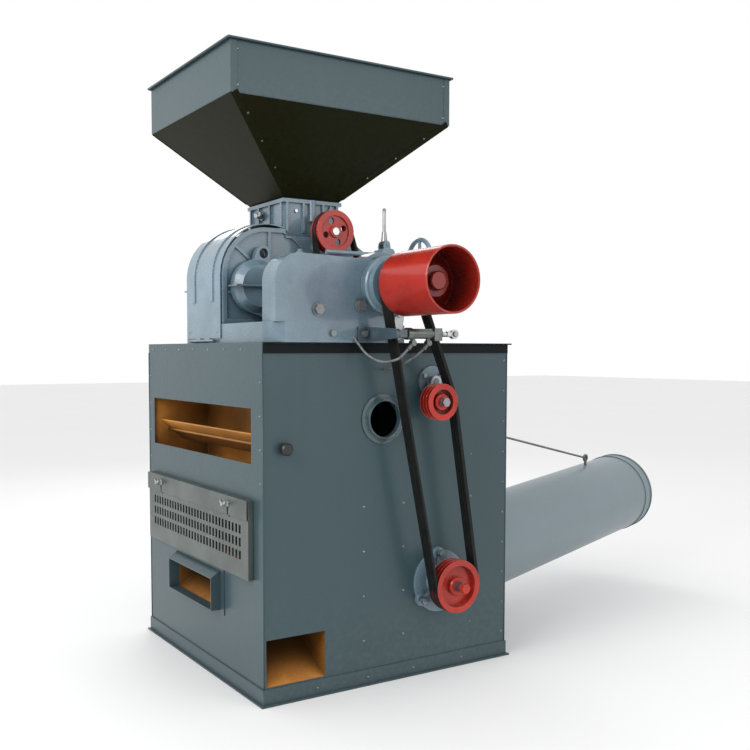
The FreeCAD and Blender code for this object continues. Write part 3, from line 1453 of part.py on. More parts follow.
def hopper_cone():
    """Four sloping panels from the band down to the feed box, with a mouth flange."""
    def level(inset, z, grow_x, grow_y, cx, cy):
        hx, hy = grow_x / 2 - inset, grow_y / 2 - inset
        pts = [vec(cx - hx, cy - hy, z), vec(cx + hx, cy - hy, z), vec(cx + hx, cy + hy, z),
               vec(cx - hx, cy + hy, z)]
        return Part.makePolygon(pts + pts[:1])
    low, high = feed_box_top, hopper_top - hopper_band_height
    mouth_x, mouth_y = (feed_box_left + feed_box_right) / 2, (feed_box_front + feed_box_rear) / 2
    mouth_w, mouth_d = feed_box_right - feed_box_left, feed_box_rear - feed_box_front
    outer = Part.makeLoft([level(0, low, mouth_w, mouth_d, mouth_x, mouth_y),
                           level(0, high, hopper_width, hopper_depth, hopper_x, hopper_y)], True, True)
    inner = Part.makeLoft([level(feed_wall, low - 0.01, mouth_w, mouth_d, mouth_x, mouth_y),
                           level(feed_wall, high + 0.01, hopper_width, hopper_depth, hopper_x, hopper_y)],
                          True, True)
    return outer.cut(inner)


def hopper_screws():
    """Screw heads along the hopper's corner seams and band edges."""
    heads = []
    low, high = feed_box_top, hopper_top - hopper_band_height
    for sx, x_low in ((-1, feed_box_left), (1, feed_box_right)):
        for sy, y_low in ((-1, feed_box_front), (1, feed_box_rear)):
            x_high, y_high = hopper_x + sx * hopper_width / 2, hopper_y + sy * hopper_depth / 2
            for z in (high - 48, high - 118, high - 188):
                share = (z - low) / (high - low)
                x = x_low + (x_high - x_low) * share - sx * 26
                y = y_low + (y_high - y_low) * share
                slope = math.atan2(abs(y_high - y_low), high - low)
                heads.append(pan_head(x, y, z, vec(0, sy * math.cos(slope), -math.sin(slope))))
            for z in (high + 24, hopper_top - 34):
                heads.append(pan_head(x_high - sx * 26, y_high, z, vec(0, sy, 0)))
    return heads


save("top_plate", top_plate())
save("front_top_rail", front_top_rail())
save("front_panel", front_panel())
save("rear_panel", rear_panel())
save("left_panel", left_panel())
save("right_panel", right_panel())
save("separation_duct", separation_duct())
save("air_baffle", air_baffle())
save("baffle_knob", baffle_knob())
save("air_shutter", shutter())
save("wing_knob_front", wing_knob(-1))
save("wing_knob_rear", wing_knob(1))
save("rice_spout", rice_spout())
save("port_ring", port_ring())
save("fan_scroll", fan_scroll())
save("fan_bearing", fan_bearing())
save("chamber_front", chamber_end(-1))
save("chamber_rear", chamber_end(1))
save("chamber_shoulder", chamber_shoulder())
save("roll_cover", [roll_cover()] + cover_screws())
save("gear_case", [gear_case(), oil_plug()])
save("fast_gear", fast_gear())
save("slow_gear", slow_gear())
save("fast_roll", [roll(shaft_x, shaft_z), roll_core(shaft_x, shaft_z)])
save("slow_roll", [roll(slow_x, slow_z), roll_core(slow_x, slow_z)])
save("main_shaft", main_shaft())
save("slow_shaft", slow_shaft())
save("fast_bearings", [fast_bearing(-1), fast_bearing(1)])
save("swing_arms", [swing_arm(-1), swing_arm(1)])
save("swing_pins", swing_pins())
save("feed_box", feed_box())
save("feed_gate", feed_gate())
save("gate_knob", gate_knob())
save("feed_roll", feed_roll())
save("feed_pulley", feed_pulley())
save("drive_pulleys", [drive_pulley(), feed_drive_pulley()])
save("belts", drive_belts() + feed_belts())
save("fan_pulley", [fan_pulley(), shaft_nut(fan_x, fan_z, 10, pulley_front - 22)])
save("idler_pulley", idler_pulley())
save("idler_bracket", idler_bracket())
save("idler_arm", [idler_arm(), shaft_nut(idler_x, idler_z, 9, pulley_front - 3)])
save("main_drum", [drum(), drum_cap()])
save("cylinder_bracket", cylinder_bracket())
save("air_cylinder", [air_cylinder()] + hose_fittings())
save("cylinder_rod", cylinder_rod())
save("press_lever", press_lever())
save("adjuster_bracket", [adjuster_bracket(), lever_fork()])
save("handwheel", handwheel())
save("engage_lever", engage_lever())
save("hopper_band", hopper_band())
save("hopper_cone", hopper_cone())
save("cabinet_frame", [base_frame()] + corner_posts())
save("exhaust_duct", [exhaust_duct(), duct_collar()])
save("duct_stay", [stay_rod(), stay_eye()])
save("grain_chutes", [outlet_chute(), spout_chute()])
save("fan_rotor", [fan_shaft(), fan_impeller()])
save("head_base", [head_base(), cover_hinge()])
save("air_tubes", [air_tube_left(), air_tube_right()])
save("machine_bolts",
     base_bolts() + gear_case_bolts() + fast_bearing_bolts() + idler_bolts() + fan_bearing_bolts())
save("screw_heads", cabinet_rivets() + hopper_screws())
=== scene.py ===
"""Finishes, trim, light and camera for a rubber-roll grain cleaner."""

import json
import math

import bmesh
import bpy
from mathutils import Matrix, Vector


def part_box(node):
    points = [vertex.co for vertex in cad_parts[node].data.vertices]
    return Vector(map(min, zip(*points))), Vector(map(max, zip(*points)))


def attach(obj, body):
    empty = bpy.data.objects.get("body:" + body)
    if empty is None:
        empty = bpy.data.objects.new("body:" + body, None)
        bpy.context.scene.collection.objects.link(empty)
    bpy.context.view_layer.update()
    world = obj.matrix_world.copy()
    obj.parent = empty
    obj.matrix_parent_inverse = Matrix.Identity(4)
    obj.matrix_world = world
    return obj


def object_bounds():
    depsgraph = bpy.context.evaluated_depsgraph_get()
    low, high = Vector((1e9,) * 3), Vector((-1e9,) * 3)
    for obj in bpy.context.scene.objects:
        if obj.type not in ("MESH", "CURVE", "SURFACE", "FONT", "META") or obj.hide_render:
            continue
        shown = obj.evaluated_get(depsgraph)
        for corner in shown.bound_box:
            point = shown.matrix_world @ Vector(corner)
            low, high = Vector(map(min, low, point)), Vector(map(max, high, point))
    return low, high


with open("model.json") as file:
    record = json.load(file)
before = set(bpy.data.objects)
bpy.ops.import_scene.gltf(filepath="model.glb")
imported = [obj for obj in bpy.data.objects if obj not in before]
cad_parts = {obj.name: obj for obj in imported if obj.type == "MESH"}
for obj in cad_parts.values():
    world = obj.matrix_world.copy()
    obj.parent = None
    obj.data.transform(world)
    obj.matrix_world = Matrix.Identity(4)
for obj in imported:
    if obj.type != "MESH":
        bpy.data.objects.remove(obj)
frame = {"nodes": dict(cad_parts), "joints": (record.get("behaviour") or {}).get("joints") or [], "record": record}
cad_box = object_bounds()

bl_info = {
    "name": "Grain Cleaner Finish",
    "version": (1, 0, 0),
    "blender": (4, 5, 0),
    "location": "View3D > Sidebar > Grain Cleaner",
    "description": "Paints, trims, lights and frames the grain cleaner",
    "category": "Object",
}

MM = 0.001
PHOTO_PIXELS = 750
SENSOR_MM = 36.0
DUCT_GAUGE = 3 * MM
COLLAR_GAUGE = 8 * MM
SLEEVE_STEP = 3.3 * MM
SLEEVE_REACH = 62 * MM
BASE_RAIL_TOP = 52 * MM
MOUTH_FRONT = -141 * MM
MOUTH_REAR = 121 * MM
BEARING_PLACES = (-175 * MM, 175 * MM)


class PaintSettings(bpy.types.PropertyGroup):
    """Colours of the machine's paints and the scale of their texture."""
    panel: bpy.props.FloatVectorProperty(
        name="Panels", description="Enamel of the cabinet panels", subtype="COLOR",
        size=3, min=0, max=1, default=(0.033, 0.061, 0.071))
    hopper: bpy.props.FloatVectorProperty(
        name="Hopper band", description="Enamel of the upright hopper band", subtype="COLOR",
        size=3, min=0, max=1, default=(0.033, 0.061, 0.070))
    cone: bpy.props.FloatVectorProperty(
        name="Hopper cone", description="Dark gloss enamel of the hopper's sloping sides", subtype="COLOR",
        size=3, min=0, max=1, default=(0.0085, 0.0095, 0.0030))
    casting: bpy.props.FloatVectorProperty(
        name="Castings", description="Gloss enamel of the husking head", subtype="COLOR",
        size=3, min=0, max=1, default=(0.115, 0.180, 0.225))
    duct: bpy.props.FloatVectorProperty(
        name="Duct", description="Enamel of the exhaust duct", subtype="COLOR",
        size=3, min=0, max=1, default=(0.150, 0.195, 0.215))
    red: bpy.props.FloatVectorProperty(
        name="Pulley red", description="Gloss enamel of the drum and the pulleys", subtype="COLOR",
        size=3, min=0, max=1, default=(0.40, 0.024, 0.014))
    orange: bpy.props.FloatVectorProperty(
        name="Inner orange", description="Primer of the ducts inside the cabinet", subtype="COLOR",
        size=3, min=0, max=1, default=(0.52, 0.205, 0.030))
    shutter: bpy.props.FloatVectorProperty(
        name="Shutter", description="Olive-grey finish of the air shutter", subtype="COLOR",
        size=3, min=0, max=1, default=(0.088, 0.104, 0.098))
    hammer_size: bpy.props.FloatProperty(
        name="Hammer mark", description="Width of one hammer mark in the panel enamel", unit="LENGTH",
        min=0.001, max=0.02, default=0.006)
    edge_wear: bpy.props.FloatProperty(
        name="Edge wear", description="Share of an edge where the paint has rubbed thin", min=0, max=1,
                                       default=0.35)
    dust: bpy.props.FloatProperty(
        name="Dust", description="Share of dust settled on the foot of the panels", min=0, max=1,
                                  default=0.05)


class TrimSettings(bpy.types.PropertyGroup):
    """Sizes of the sheet-metal trim that goes on the frame."""
    seam_width: bpy.props.FloatProperty(
        name="Seam width", description="Width of the lapped seams on the hopper's corners", unit="LENGTH",
        min=0.004, max=0.05, default=0.024)
    seam_height: bpy.props.FloatProperty(
        name="Seam height", description="How far a lapped seam stands proud", unit="LENGTH",
        min=0.0005, max=0.006, default=0.0016)
    rim_radius: bpy.props.FloatProperty(
        name="Rim radius", description="Radius of the wired edge round the hopper's rim", unit="LENGTH",
        min=0.001, max=0.01, default=0.0035)
    weld_radius: bpy.props.FloatProperty(
        name="Weld radius", description="Radius of the welds on the duct", unit="LENGTH",
        min=0.001, max=0.01, default=0.0035)


class StageSettings(bpy.types.PropertyGroup):
    """Floor, lights and camera."""
    floor_size: bpy.props.FloatProperty(
        name="Floor size", description="Width of the plain floor", unit="LENGTH", min=5, max=200, default=60)
    key_power: bpy.props.FloatProperty(
        name="Key light", description="Power of the soft light on the window side", unit="POWER",
        min=0, max=5000, default=135)
    fill_power: bpy.props.FloatProperty(
        name="Fill light", description="Power of the soft light on the belt side", unit="POWER",
        min=0, max=5000, default=34)
    sky: bpy.props.FloatProperty(
        name="Sky", description="Strength of the even light from all round", min=0, max=5, default=1.0)
    focal_pixels: bpy.props.FloatProperty(
        name="Focal length", description="Focal length of the photograph in its own pixels",
        min=100, max=5000, default=946.494)
    eye: bpy.props.FloatVectorProperty(
        name="Camera place", description="Where the camera stands", subtype="TRANSLATION", unit="LENGTH",
        size=3, default=(-1.80843, -3.08995, 1.10996))
    heading: bpy.props.FloatProperty(
        name="Heading", description="Turn of the camera from straight ahead towards the duct side",
        subtype="ANGLE", unit="ROTATION", default=0.555949)
    tilt: bpy.props.FloatProperty(
        name="Tilt", description="How far the camera looks down", subtype="ANGLE", unit="ROTATION",
        default=0.0613164)
    centre_x: bpy.props.FloatProperty(
        name="Optical centre across", description="Column of the lens axis in the photograph", default=345.0)
    centre_y: bpy.props.FloatProperty(
        name="Optical centre down", description="Row of the lens axis in the photograph", default=410.0)


class Value:
    """A number that varies over a surface. Sums on it add Math nodes."""

    def __init__(self, shader, socket):
        self.shader = shader
        self.socket = socket

    def math(self, operation, *others, clamp=False):
        return self.shader.node("ShaderNodeMath", dict(enumerate((self,) + others)),
                                operation=operation, use_clamp=clamp)

    def __add__(self, other):
        return self.math("ADD", other)

    def __mul__(self, other):
        return self.math("MULTIPLY", other)

    def __sub__(self, other):
        return self.math("SUBTRACT", other)

    def __rsub__(self, other):
        return self.shader.node("ShaderNodeMath", {0: other, 1: self}, operation="SUBTRACT")

    __radd__ = __add__
    __rmul__ = __mul__

    def clamped(self):
        return self.math("ADD", 0.0, clamp=True)

    def smooth(self, low, high):
        """0 below low, 1 above high, eased between."""
        return self.shader.node("ShaderNodeMapRange", {"Value": self, "From Min": low, "From Max": high},
                                interpolation_type="SMOOTHSTEP")


class Shader:
    """A material being built on one Principled shader."""

    def __init__(self, name):
        self.material = bpy.data.materials.new(name)
        self.material.use_nodes = True
        self.tree = self.material.node_tree
        self.tree.nodes.clear()
        self.surface = self.tree.nodes.new("ShaderNodeBsdfPrincipled")
        output = self.tree.nodes.new("ShaderNodeOutputMaterial")
        self.tree.links.new(self.surface.outputs[0], output.inputs["Surface"])
        place = self.tree.nodes.new("ShaderNodeTexCoord")
        self.place = Value(self, place.outputs["Object"])

    def node(self, kind, inputs=None, output=0, **settings):
        """Adds a node: settings first, then the values or links of its sockets."""
        made = self.tree.nodes.new(kind)
        for key, setting in settings.items():
            if key == "stops":
                ramp = made.color_ramp
                while len(ramp.elements) < len(setting):
                    ramp.elements.new(0.5)
                for element, (position, colour) in zip(ramp.elements, setting):
                    element.position = position
                    element.color = (*colour, 1.0)
            else:
                setattr(made, key, setting)
        for key, given in (inputs or {}).items():
            self.feed(made.inputs[key], given)
        return Value(self, made.outputs[output])

    def feed(self, socket, given):
        if isinstance(given, Value):
            self.tree.links.new(given.socket, socket)
        elif socket.type == "RGBA" and len(given) == 3:
            socket.default_value = (*given, 1.0)
        else:
            socket.default_value = given

    def set(self, **sockets):
        """Feeds the Principled shader; an underscore stands for a space."""
        for key, given in sockets.items():
            self.feed(self.surface.inputs[key.replace("_", " ")], given)
        return self.material

    def scaled(self, x, y, z):
        return self.node("ShaderNodeVectorMath", {0: self.place, 1: (x, y, z)}, operation="MULTIPLY")

    def along(self, axis):
        return self.node("ShaderNodeSeparateXYZ", {0: self.place}, output=axis)

    def noise(self, scale, detail=3.0, roughness=0.55, at=None, distortion=0.0):
        return self.node("ShaderNodeTexNoise",
                         {"Vector": at or self.place, "Scale": scale, "Detail": detail,
                          "Roughness": roughness, "Distortion": distortion})

    def cells(self, scale, feature="SMOOTH_F1", at=None):
        sockets = {"Vector": at or self.place, "Scale": scale}
        if feature == "SMOOTH_F1":
            sockets["Smoothness"] = 0.6
        return self.node("ShaderNodeTexVoronoi", sockets, feature=feature)

    def mix(self, share, first, second):
        """Colour that goes from first to second as share goes from 0 to 1."""
        mixed = self.tree.nodes.new("ShaderNodeMix")
        mixed.data_type = "RGBA"
        self.feed(mixed.inputs["Factor"], share)
        self.feed(mixed.inputs[6], first)
        self.feed(mixed.inputs[7], second)
        return Value(self, mixed.outputs[2])

    def bump(self, height, depth, under=None):
        """Surface relief: height from 0 to 1 stands for depth in metres."""
        sockets = {"Height": height, "Strength": 1.0, "Distance": depth}
        if under is not None:
            sockets["Normal"] = under
        return self.node("ShaderNodeBump", sockets)

    def rounded(self, radius):
        """Normals that run round every edge by a small radius."""
        return self.node("ShaderNodeBevel", {"Radius": radius}, samples=4)

    def edges(self, radius):
        """1 along outer and inner edges, 0 on flats."""
        true = self.node("ShaderNodeNewGeometry", output="Normal")
        turned = self.node("ShaderNodeVectorMath", {0: self.rounded(radius), 1: true},
                           output="Value", operation="DOT_PRODUCT")
        return (1.0 - turned).smooth(0.02, 0.22)

    def corners(self, reach):
        """1 deep in corners and recesses, 0 in the open."""
        open_share = self.node("ShaderNodeAmbientOcclusion", {"Distance": reach}, output="AO", samples=4)
        return (1.0 - open_share).smooth(0.12, 0.75)


def shade(colour, by):
    """The same colour, lighter or darker."""
    return tuple(min(part * by, 1.0) for part in colour)


DUST = (0.36, 0.33, 0.27)
GREASE = (0.012, 0.011, 0.010)
BARE_IRON = (0.26, 0.26, 0.27)
RUST = (0.16, 0.055, 0.020)


def enamel(name, colour, gloss=0.34, mark=0.006, mark_depth=0.00035, wear=0.35, coat=0.12, dust=0.16, low=0.0,
           shine=0.34):
    """Hammer-finish enamel on sheet: shallow dimples, soft clouding, paint rubbed thin on edges, dust low down, a
    painted highlight along every edge and painted shade in corners.
    """
    s = Shader(name)
    marks = s.cells(1.0 / mark)
    clouds = s.noise(2.3, 4.0, 0.6)
    fine = s.noise(60.0, 3.0, 0.6)
    drips = s.noise(1.0, 4.0, 0.6, at=s.scaled(16.0, 16.0, 1.4))
    edge = s.edges(0.0022)
    nook = s.corners(0.05)
    tone = s.mix(clouds.smooth(0.30, 0.72), shade(colour, 0.86), shade(colour, 1.13))
    tone = s.mix((marks.smooth(0.05, 0.55) * 0.28).clamped(), shade(colour, 1.16), tone)
    tone = s.mix((drips.smooth(0.52, 0.80) * 0.16).clamped(), tone, shade(colour, 1.45))
    height = s.along(2)
    settled = ((1.0 - height.smooth(low, low + 0.45)) * fine.smooth(0.35, 0.70) * dust).clamped()
    tone = s.mix(settled, tone, DUST)
    # Painted shade: corners and recesses darkened towards 38 per cent of the paint colour.
    tone = s.mix((nook * 0.50).clamped(), tone, shade(colour, 0.38))
    chips = s.noise(140.0, 2.0, 0.7).smooth(0.60 - 0.16 * wear, 0.66)
    rubbed = (edge * chips * wear * 1.5).clamped()
    # Painted highlight: every edge lightened towards a brighter copy of the paint.
    tone = s.mix((edge * 0.30).clamped(), tone, shade(colour, 1.7))
    tone = s.mix(rubbed, tone, BARE_IRON)
    relief = s.bump(marks, mark_depth, s.bump(clouds, 0.0012, s.rounded(0.0014)))
    return s.set(Base_Color=tone,
                 Roughness=(fine * 0.16 + settled * 0.30 + nook * 0.12 + (gloss - 0.08)).clamped(),
                 Metallic=rubbed * 0.9, Normal=relief, Coat_Weight=coat * (1.0 - settled),
                 Coat_Roughness=0.16,
                 Specular_IOR_Level=shine)


def cast_enamel(name, colour, sand=0.004, sand_depth=0.0005, gloss=0.26, wear=0.4):
    """Thick gloss enamel over a sand casting: grainy, grease near the moving parts, painted shade in corners and a
    painted highlight along the edges.
    """
    s = Shader(name)
    sandy = s.noise(1.0 / sand, 3.0, 0.6)
    waves = s.noise(14.0, 3.0, 0.5)
    blotch = s.noise(5.0, 5.0, 0.62)
    edge = s.edges(0.0040)
    nook = s.corners(0.045)
    tone = s.mix(blotch.smooth(0.30, 0.70), shade(colour, 0.78), shade(colour, 1.18))
    # Painted shade: corners and recesses darkened towards 22 per cent of the paint colour.
    tone = s.mix((nook * 0.72).clamped(), tone, shade(colour, 0.22))
    grime = (s.noise(9.0, 6.0, 0.7, distortion=0.6).smooth(0.56, 0.80) * 0.40).clamped()
    tone = s.mix(grime, tone, GREASE)
    # Painted highlight: every edge lightened towards a brighter copy of the paint.
    tone = s.mix((edge * 0.58).clamped(), tone, shade(colour, 1.9))
    chips = (edge * s.noise(170.0, 2.0, 0.7).smooth(0.58 - 0.16 * wear, 0.66) * wear * 1.4).clamped()
    tone = s.mix(chips, tone, BARE_IRON)
    relief = s.bump(sandy, sand_depth, s.bump(waves, 0.0014, s.rounded(0.0030)))
    return s.set(Base_Color=tone, Roughness=(sandy * 0.16 + grime * 0.35 + gloss - 0.06).clamped(),
                 Metallic=chips * 0.9, Normal=relief, Coat_Weight=0.55 * (1.0 - grime), Coat_Roughness=0.10)


def pulley_enamel(name, colour, centre, recess=0.030):
    """Gloss red over turned iron: faint lathe rings, black dust from the belts, painted shade in the recesses and
    a painted highlight on the rims.
    """
    s = Shader(name)
    x = s.along(0) - centre[0]
    z = s.along(2) - centre[1]
    reach = (x * x + z * z).math("SQRT")
    rings = (reach * 2600.0).math("SINE") * 0.5 + 0.5
    peel = s.noise(210.0, 2.0, 0.5)
    clouds = s.noise(7.0, 4.0, 0.6)
    edge = s.edges(0.0030)
    nook = s.corners(recess)
    tone = s.mix(clouds.smooth(0.30, 0.70), shade(colour, 0.80), shade(colour, 1.12))
    # Painted shade: recesses darkened towards 16 per cent of the red.
    tone = s.mix((nook * 0.78).clamped(), tone, shade(colour, 0.16))
    # Belt dust, weighted by the corner mask so that it also paints shade in the recesses.
    belt_dust_and_shade = (s.noise(26.0, 5.0, 0.7).smooth(0.50, 0.78) * (nook * 0.8 + 0.18)).clamped()
    tone = s.mix(belt_dust_and_shade, tone, GREASE)
    chips = (edge * s.noise(190.0, 2.0, 0.7).smooth(0.50, 0.60) * 0.75).clamped()
    # Painted highlight: every rim lightened towards a brighter red.
    tone = s.mix((edge * 0.35).clamped(), tone,
                 (min(colour[0] * 1.35, 1.0), colour[1] * 2.4, colour[2] * 2.4))
    tone = s.mix(chips, tone, BARE_IRON)
    relief = s.bump(peel, 0.00012, s.bump(rings, 0.00004, s.rounded(0.0016)))
    return s.set(Base_Color=tone, Roughness=(peel * 0.08 + belt_dust_and_shade * 0.4 + 0.20).clamped(),
                 Metallic=chips * 0.9,
                 Normal=relief, Coat_Weight=0.20 * (1.0 - belt_dust_and_shade), Coat_Roughness=0.12,
                 Specular_IOR_Level=0.32)


def primer(name, colour):
    """Brushed-on orange primer inside the ducts, dusted with bran, with painted shade in the recesses and a
    painted highlight along the edges.
    """
    s = Shader(name)
    strokes = s.noise(1.0, 3.0, 0.6, at=s.scaled(60.0, 9.0, 60.0))
    clouds = s.noise(5.0, 5.0, 0.62)
    nook = s.corners(0.20)
    tone = s.mix(clouds.smooth(0.3, 0.7), shade(colour, 0.72), shade(colour, 1.22))
    tone = s.mix((strokes * 0.30).clamped(), tone, shade(colour, 0.80))
    bran = (s.noise(55.0, 5.0, 0.7).smooth(0.52, 0.76) * 0.26).clamped()
    tone = s.mix(bran, tone, (0.55, 0.40, 0.20))
    # Painted shade: recesses darkened almost to black.
    tone = s.mix((nook * 0.94).clamped(), tone, shade(colour, 0.06))
    # Painted highlight: every edge lightened towards a pale orange.
    tone = s.mix((s.edges(0.0020) * 0.40).clamped(), tone, (0.72, 0.46, 0.20))
    relief = s.bump(strokes, 0.0002, s.bump(bran, 0.0003, s.rounded(0.0010)))
    return s.set(Base_Color=tone, Roughness=(bran * 0.3 + clouds * 0.12 + 0.42).clamped(), Normal=relief)


def metal(name, colour, roughness=0.32, brushed=(1.0, 1.0, 1.0), rust=0.15, brush_scale=160.0):
    """Machined or plated steel: fine tool marks, dull oxide clouds, a little rust, and painted shade in corners.
    """
    s = Shader(name)
    tool = s.noise(brush_scale, 3.0, 0.6, at=s.scaled(*brushed))
    clouds = s.noise(22.0, 4.0, 0.6)
    nook = s.corners(0.02)
    tone = s.mix(clouds.smooth(0.3, 0.7), shade(colour, 0.72), shade(colour, 1.12))
    # Painted shade: corners darkened towards near black and made less metallic.
    corner_shade = (nook * 0.65).clamped()
    tone = s.mix(corner_shade, tone, GREASE)
    rusty = (s.noise(75.0, 5.0, 0.7).smooth(0.60, 0.74) * rust).clamped()
    tone = s.mix(rusty, tone, RUST)
    relief = s.bump(tool, 0.00008, s.rounded(0.0009))
    return s.set(Base_Color=tone,
                 Roughness=(tool * 0.16 + rusty * 0.4 + clouds * 0.10 + roughness - 0.10).clamped(),
                 Metallic=1.0 - (rusty + corner_shade * 0.6).clamped(), Normal=relief)


def belt_rubber(name):
    """Wrapped V-belt: woven jacket, glazed sides, pale dust."""
    s = Shader(name)
    weave = ((s.along(2)
              + s.along(0)) * 4200.0).math("SINE") * ((s.along(2) - s.along(0)) * 4200.0).math("SINE")
    worn = s.noise(30.0, 4.0, 0.65)
    tone = s.mix(worn.smooth(0.35, 0.75), (0.0030, 0.0034, 0.0030), (0.009, 0.010, 0.009))
    tone = s.mix((s.noise(90.0, 4.0, 0.7).smooth(0.58, 0.80) * 0.22).clamped(), tone, (0.05, 0.046, 0.040))
    relief = s.bump(weave * 0.5 + 0.5, 0.00018, s.rounded(0.0008))
    return s.set(Base_Color=tone, Roughness=(worn * 0.22 + 0.50).clamped(), Normal=relief,
                 Specular_IOR_Level=0.28)


def roll_rubber(name):
    """Off-white husking rubber with fine wear lines round the roll."""
    s = Shader(name)
    lines = s.noise(1.0, 3.0, 0.6, at=s.scaled(6.0, 420.0, 6.0))
    clouds = s.noise(12.0, 4.0, 0.6)
    tone = s.mix(clouds.smooth(0.3, 0.7), (0.50, 0.46, 0.36), (0.66, 0.62, 0.51))
    tone = s.mix((lines.smooth(0.5, 0.8) * 0.35).clamped(), tone, (0.28, 0.22, 0.14))
    return s.set(Base_Color=tone, Roughness=(clouds * 0.15 + 0.58).clamped(), Normal=s.bump(lines, 0.0003))


def plastic(name, colour, roughness=0.38, grain=0.0004):
    """Moulded plastic with a faint matt grain and a painted highlight along its edges."""
    s = Shader(name)
    texture = s.noise(1.0 / grain, 2.0, 0.5)
    clouds = s.noise(40.0, 3.0, 0.6)
    tone = s.mix(clouds.smooth(0.3, 0.7), shade(colour, 0.85), shade(colour, 1.15))
    # Painted highlight: every edge lightened towards a brighter copy of the colour.
    tone = s.mix((s.edges(0.0010) * 0.35).clamped(), tone, shade(colour, 2.2))
    return s.set(Base_Color=tone, Roughness=(clouds * 0.15 + roughness - 0.05).clamped(),
                 Normal=s.bump(texture, 0.00006, s.rounded(0.0008)))


def shutter_finish(name, colour):
    """Zinc sheet gone olive: vertical rolling marks, a painted highlight on the punched edges, painted shade in
    the slots and corners.
    """
    s = Shader(name)
    rolled = s.noise(1.0, 3.0, 0.6, at=s.scaled(120.0, 120.0, 5.0))
    clouds = s.noise(6.0, 4.0, 0.6)
    edge = s.edges(0.0016)
    nook = s.corners(0.02)
    tone = s.mix(clouds.smooth(0.3, 0.7), shade(colour, 0.76), shade(colour, 1.28))
    tone = s.mix((rolled.smooth(0.45, 0.8) * 0.35).clamped(), tone, shade(colour, 1.7))
    # Painted shade: corners and slots darkened towards a quarter of the colour.
    tone = s.mix((nook * 0.6).clamped(), tone, shade(colour, 0.25))
    # Painted highlight: the punched edges lightened towards pale grey.
    tone = s.mix((edge * 0.5).clamped(), tone, (0.42, 0.42, 0.38))
    relief = s.bump(rolled, 0.0001, s.rounded(0.0009))
    return s.set(Base_Color=tone, Roughness=(rolled * 0.14 + 0.30).clamped(),
                 Metallic=(clouds * 0.2 + 0.30).clamped(), Normal=relief, Coat_Weight=0.05)


def nylon_tube(name):
    """Smoked air tube."""
    s = Shader(name)
    clouds = s.noise(60.0, 3.0, 0.6)
    tone = s.mix(clouds.smooth(0.3, 0.7), (0.060, 0.068, 0.070), (0.130, 0.145, 0.150))
    return s.set(Base_Color=tone, Roughness=(clouds * 0.15 + 0.24).clamped(), Normal=s.bump(clouds, 0.0001),
                 Subsurface_Weight=0.1)


def dress(material, *names):
    """Gives CAD nodes a finish in every one of their slots."""
    for name in names:
        part = frame["nodes"][name]
        if not part.material_slots:
            part.data.materials.append(material)
        for place in part.material_slots:
            place.material = material


def finished_piece(name, builder, material, body, bevel=0.0, smooth=True):
    """Turns mesh code into a named piece that rides on a body."""
    mesh = bpy.data.meshes.new(name)
    bmesh.ops.recalc_face_normals(builder, faces=builder.faces)
    builder.to_mesh(mesh)
    builder.free()
    for face in mesh.polygons:
        face.use_smooth = smooth
    piece = bpy.data.objects.new(name, mesh)
    bpy.context.scene.collection.objects.link(piece)
    mesh.materials.append(material)
    if bevel:
        rounding = piece.modifiers.new("rounded edges", "BEVEL")
        rounding.width = bevel
        rounding.segments = 2
        rounding.limit_method = "ANGLE"
        rounding.harden_normals = False
    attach(piece, body)
    return piece


def sweep(builder, points, radius, closed=False, sides=10, flat=1.0, ripple=0.0):
    """A round or flattened bead along points, with mitred joints and capped ends."""
    points = [Vector(p) for p in points]
    count = len(points)
    rings = []
    up = None
    for i, here in enumerate(points):
        before = points[i - 1] if closed or i else here
        after = points[(i + 1) % count] if closed or i < count - 1 else here
        along = (after - before).normalized()
        if up is None:
            up = along.orthogonal().normalized()
        side = along.cross(up).normalized()
        up = side.cross(along).normalized()
        reach = radius * (1.0 + ripple * math.sin(i * 2.4))
        ring = []
        for k in range(sides):
            turn = 2 * math.pi * k / sides
            ring.append(builder.verts.new(here + side * math.cos(turn) * reach
                                          + up * math.sin(turn) * reach * flat))
        rings.append(ring)
    spans = range(count if closed else count - 1)
    for i in spans:
        near, far = rings[i], rings[(i + 1) % count]
        shift = 0
        if closed and i == count - 1:
            shift = min(range(sides), key=lambda s: (near[0].co - far[s].co).length)
        for k in range(sides):
            builder.faces.new((near[k], near[(k + 1) % sides], far[(k + 1 + shift) % sides],
                               far[(k + shift) % sides]))
    if not closed:
        builder.faces.new(rings[0])
        builder.faces.new(list(reversed(rings[-1])))


def lathe(builder, profile, place, direction, sides=24):
    """A turned form: profile of (radius, height) pairs about a direction."""
    turn = Vector((0, 0, 1)).rotation_difference(Vector(direction).normalized()).to_matrix()
    rings = []
    for radius, height in profile:
        ring = []
        for k in range(sides if radius > 0 else 1):
            angle = 2 * math.pi * k / sides
            spot = Vector((radius * math.cos(angle), radius * math.sin(angle), height))
            ring.append(builder.verts.new(Vector(place) + turn @ spot))
        rings.append(ring)
    for near, far in zip(rings, rings[1:]):
        for k in range(sides):
            corners = [near[k % len(near)], near[(k + 1) % len(near)], far[(k + 1) % len(far)],
                       far[k % len(far)]]
            corners = list(dict.fromkeys(corners))
            if len(corners) > 2:
                builder.faces.new(corners)
    if len(rings[0]) > 1:
        builder.faces.new(list(reversed(rings[0])))
    if len(rings[-1]) > 1:
        builder.faces.new(rings[-1])


def slab(builder, outline, thickness):
    """A flat plate: outline points in order, thickened along a vector."""
    low = [builder.verts.new(Vector(p)) for p in outline]
    high = [builder.verts.new(Vector(p) + Vector(thickness)) for p in outline]
    builder.faces.new(list(reversed(low)))
    builder.faces.new(high)
    for i in range(len(low)):
        j = (i + 1) % len(low)
        builder.faces.new((low[i], low[j], high[j], high[i]))


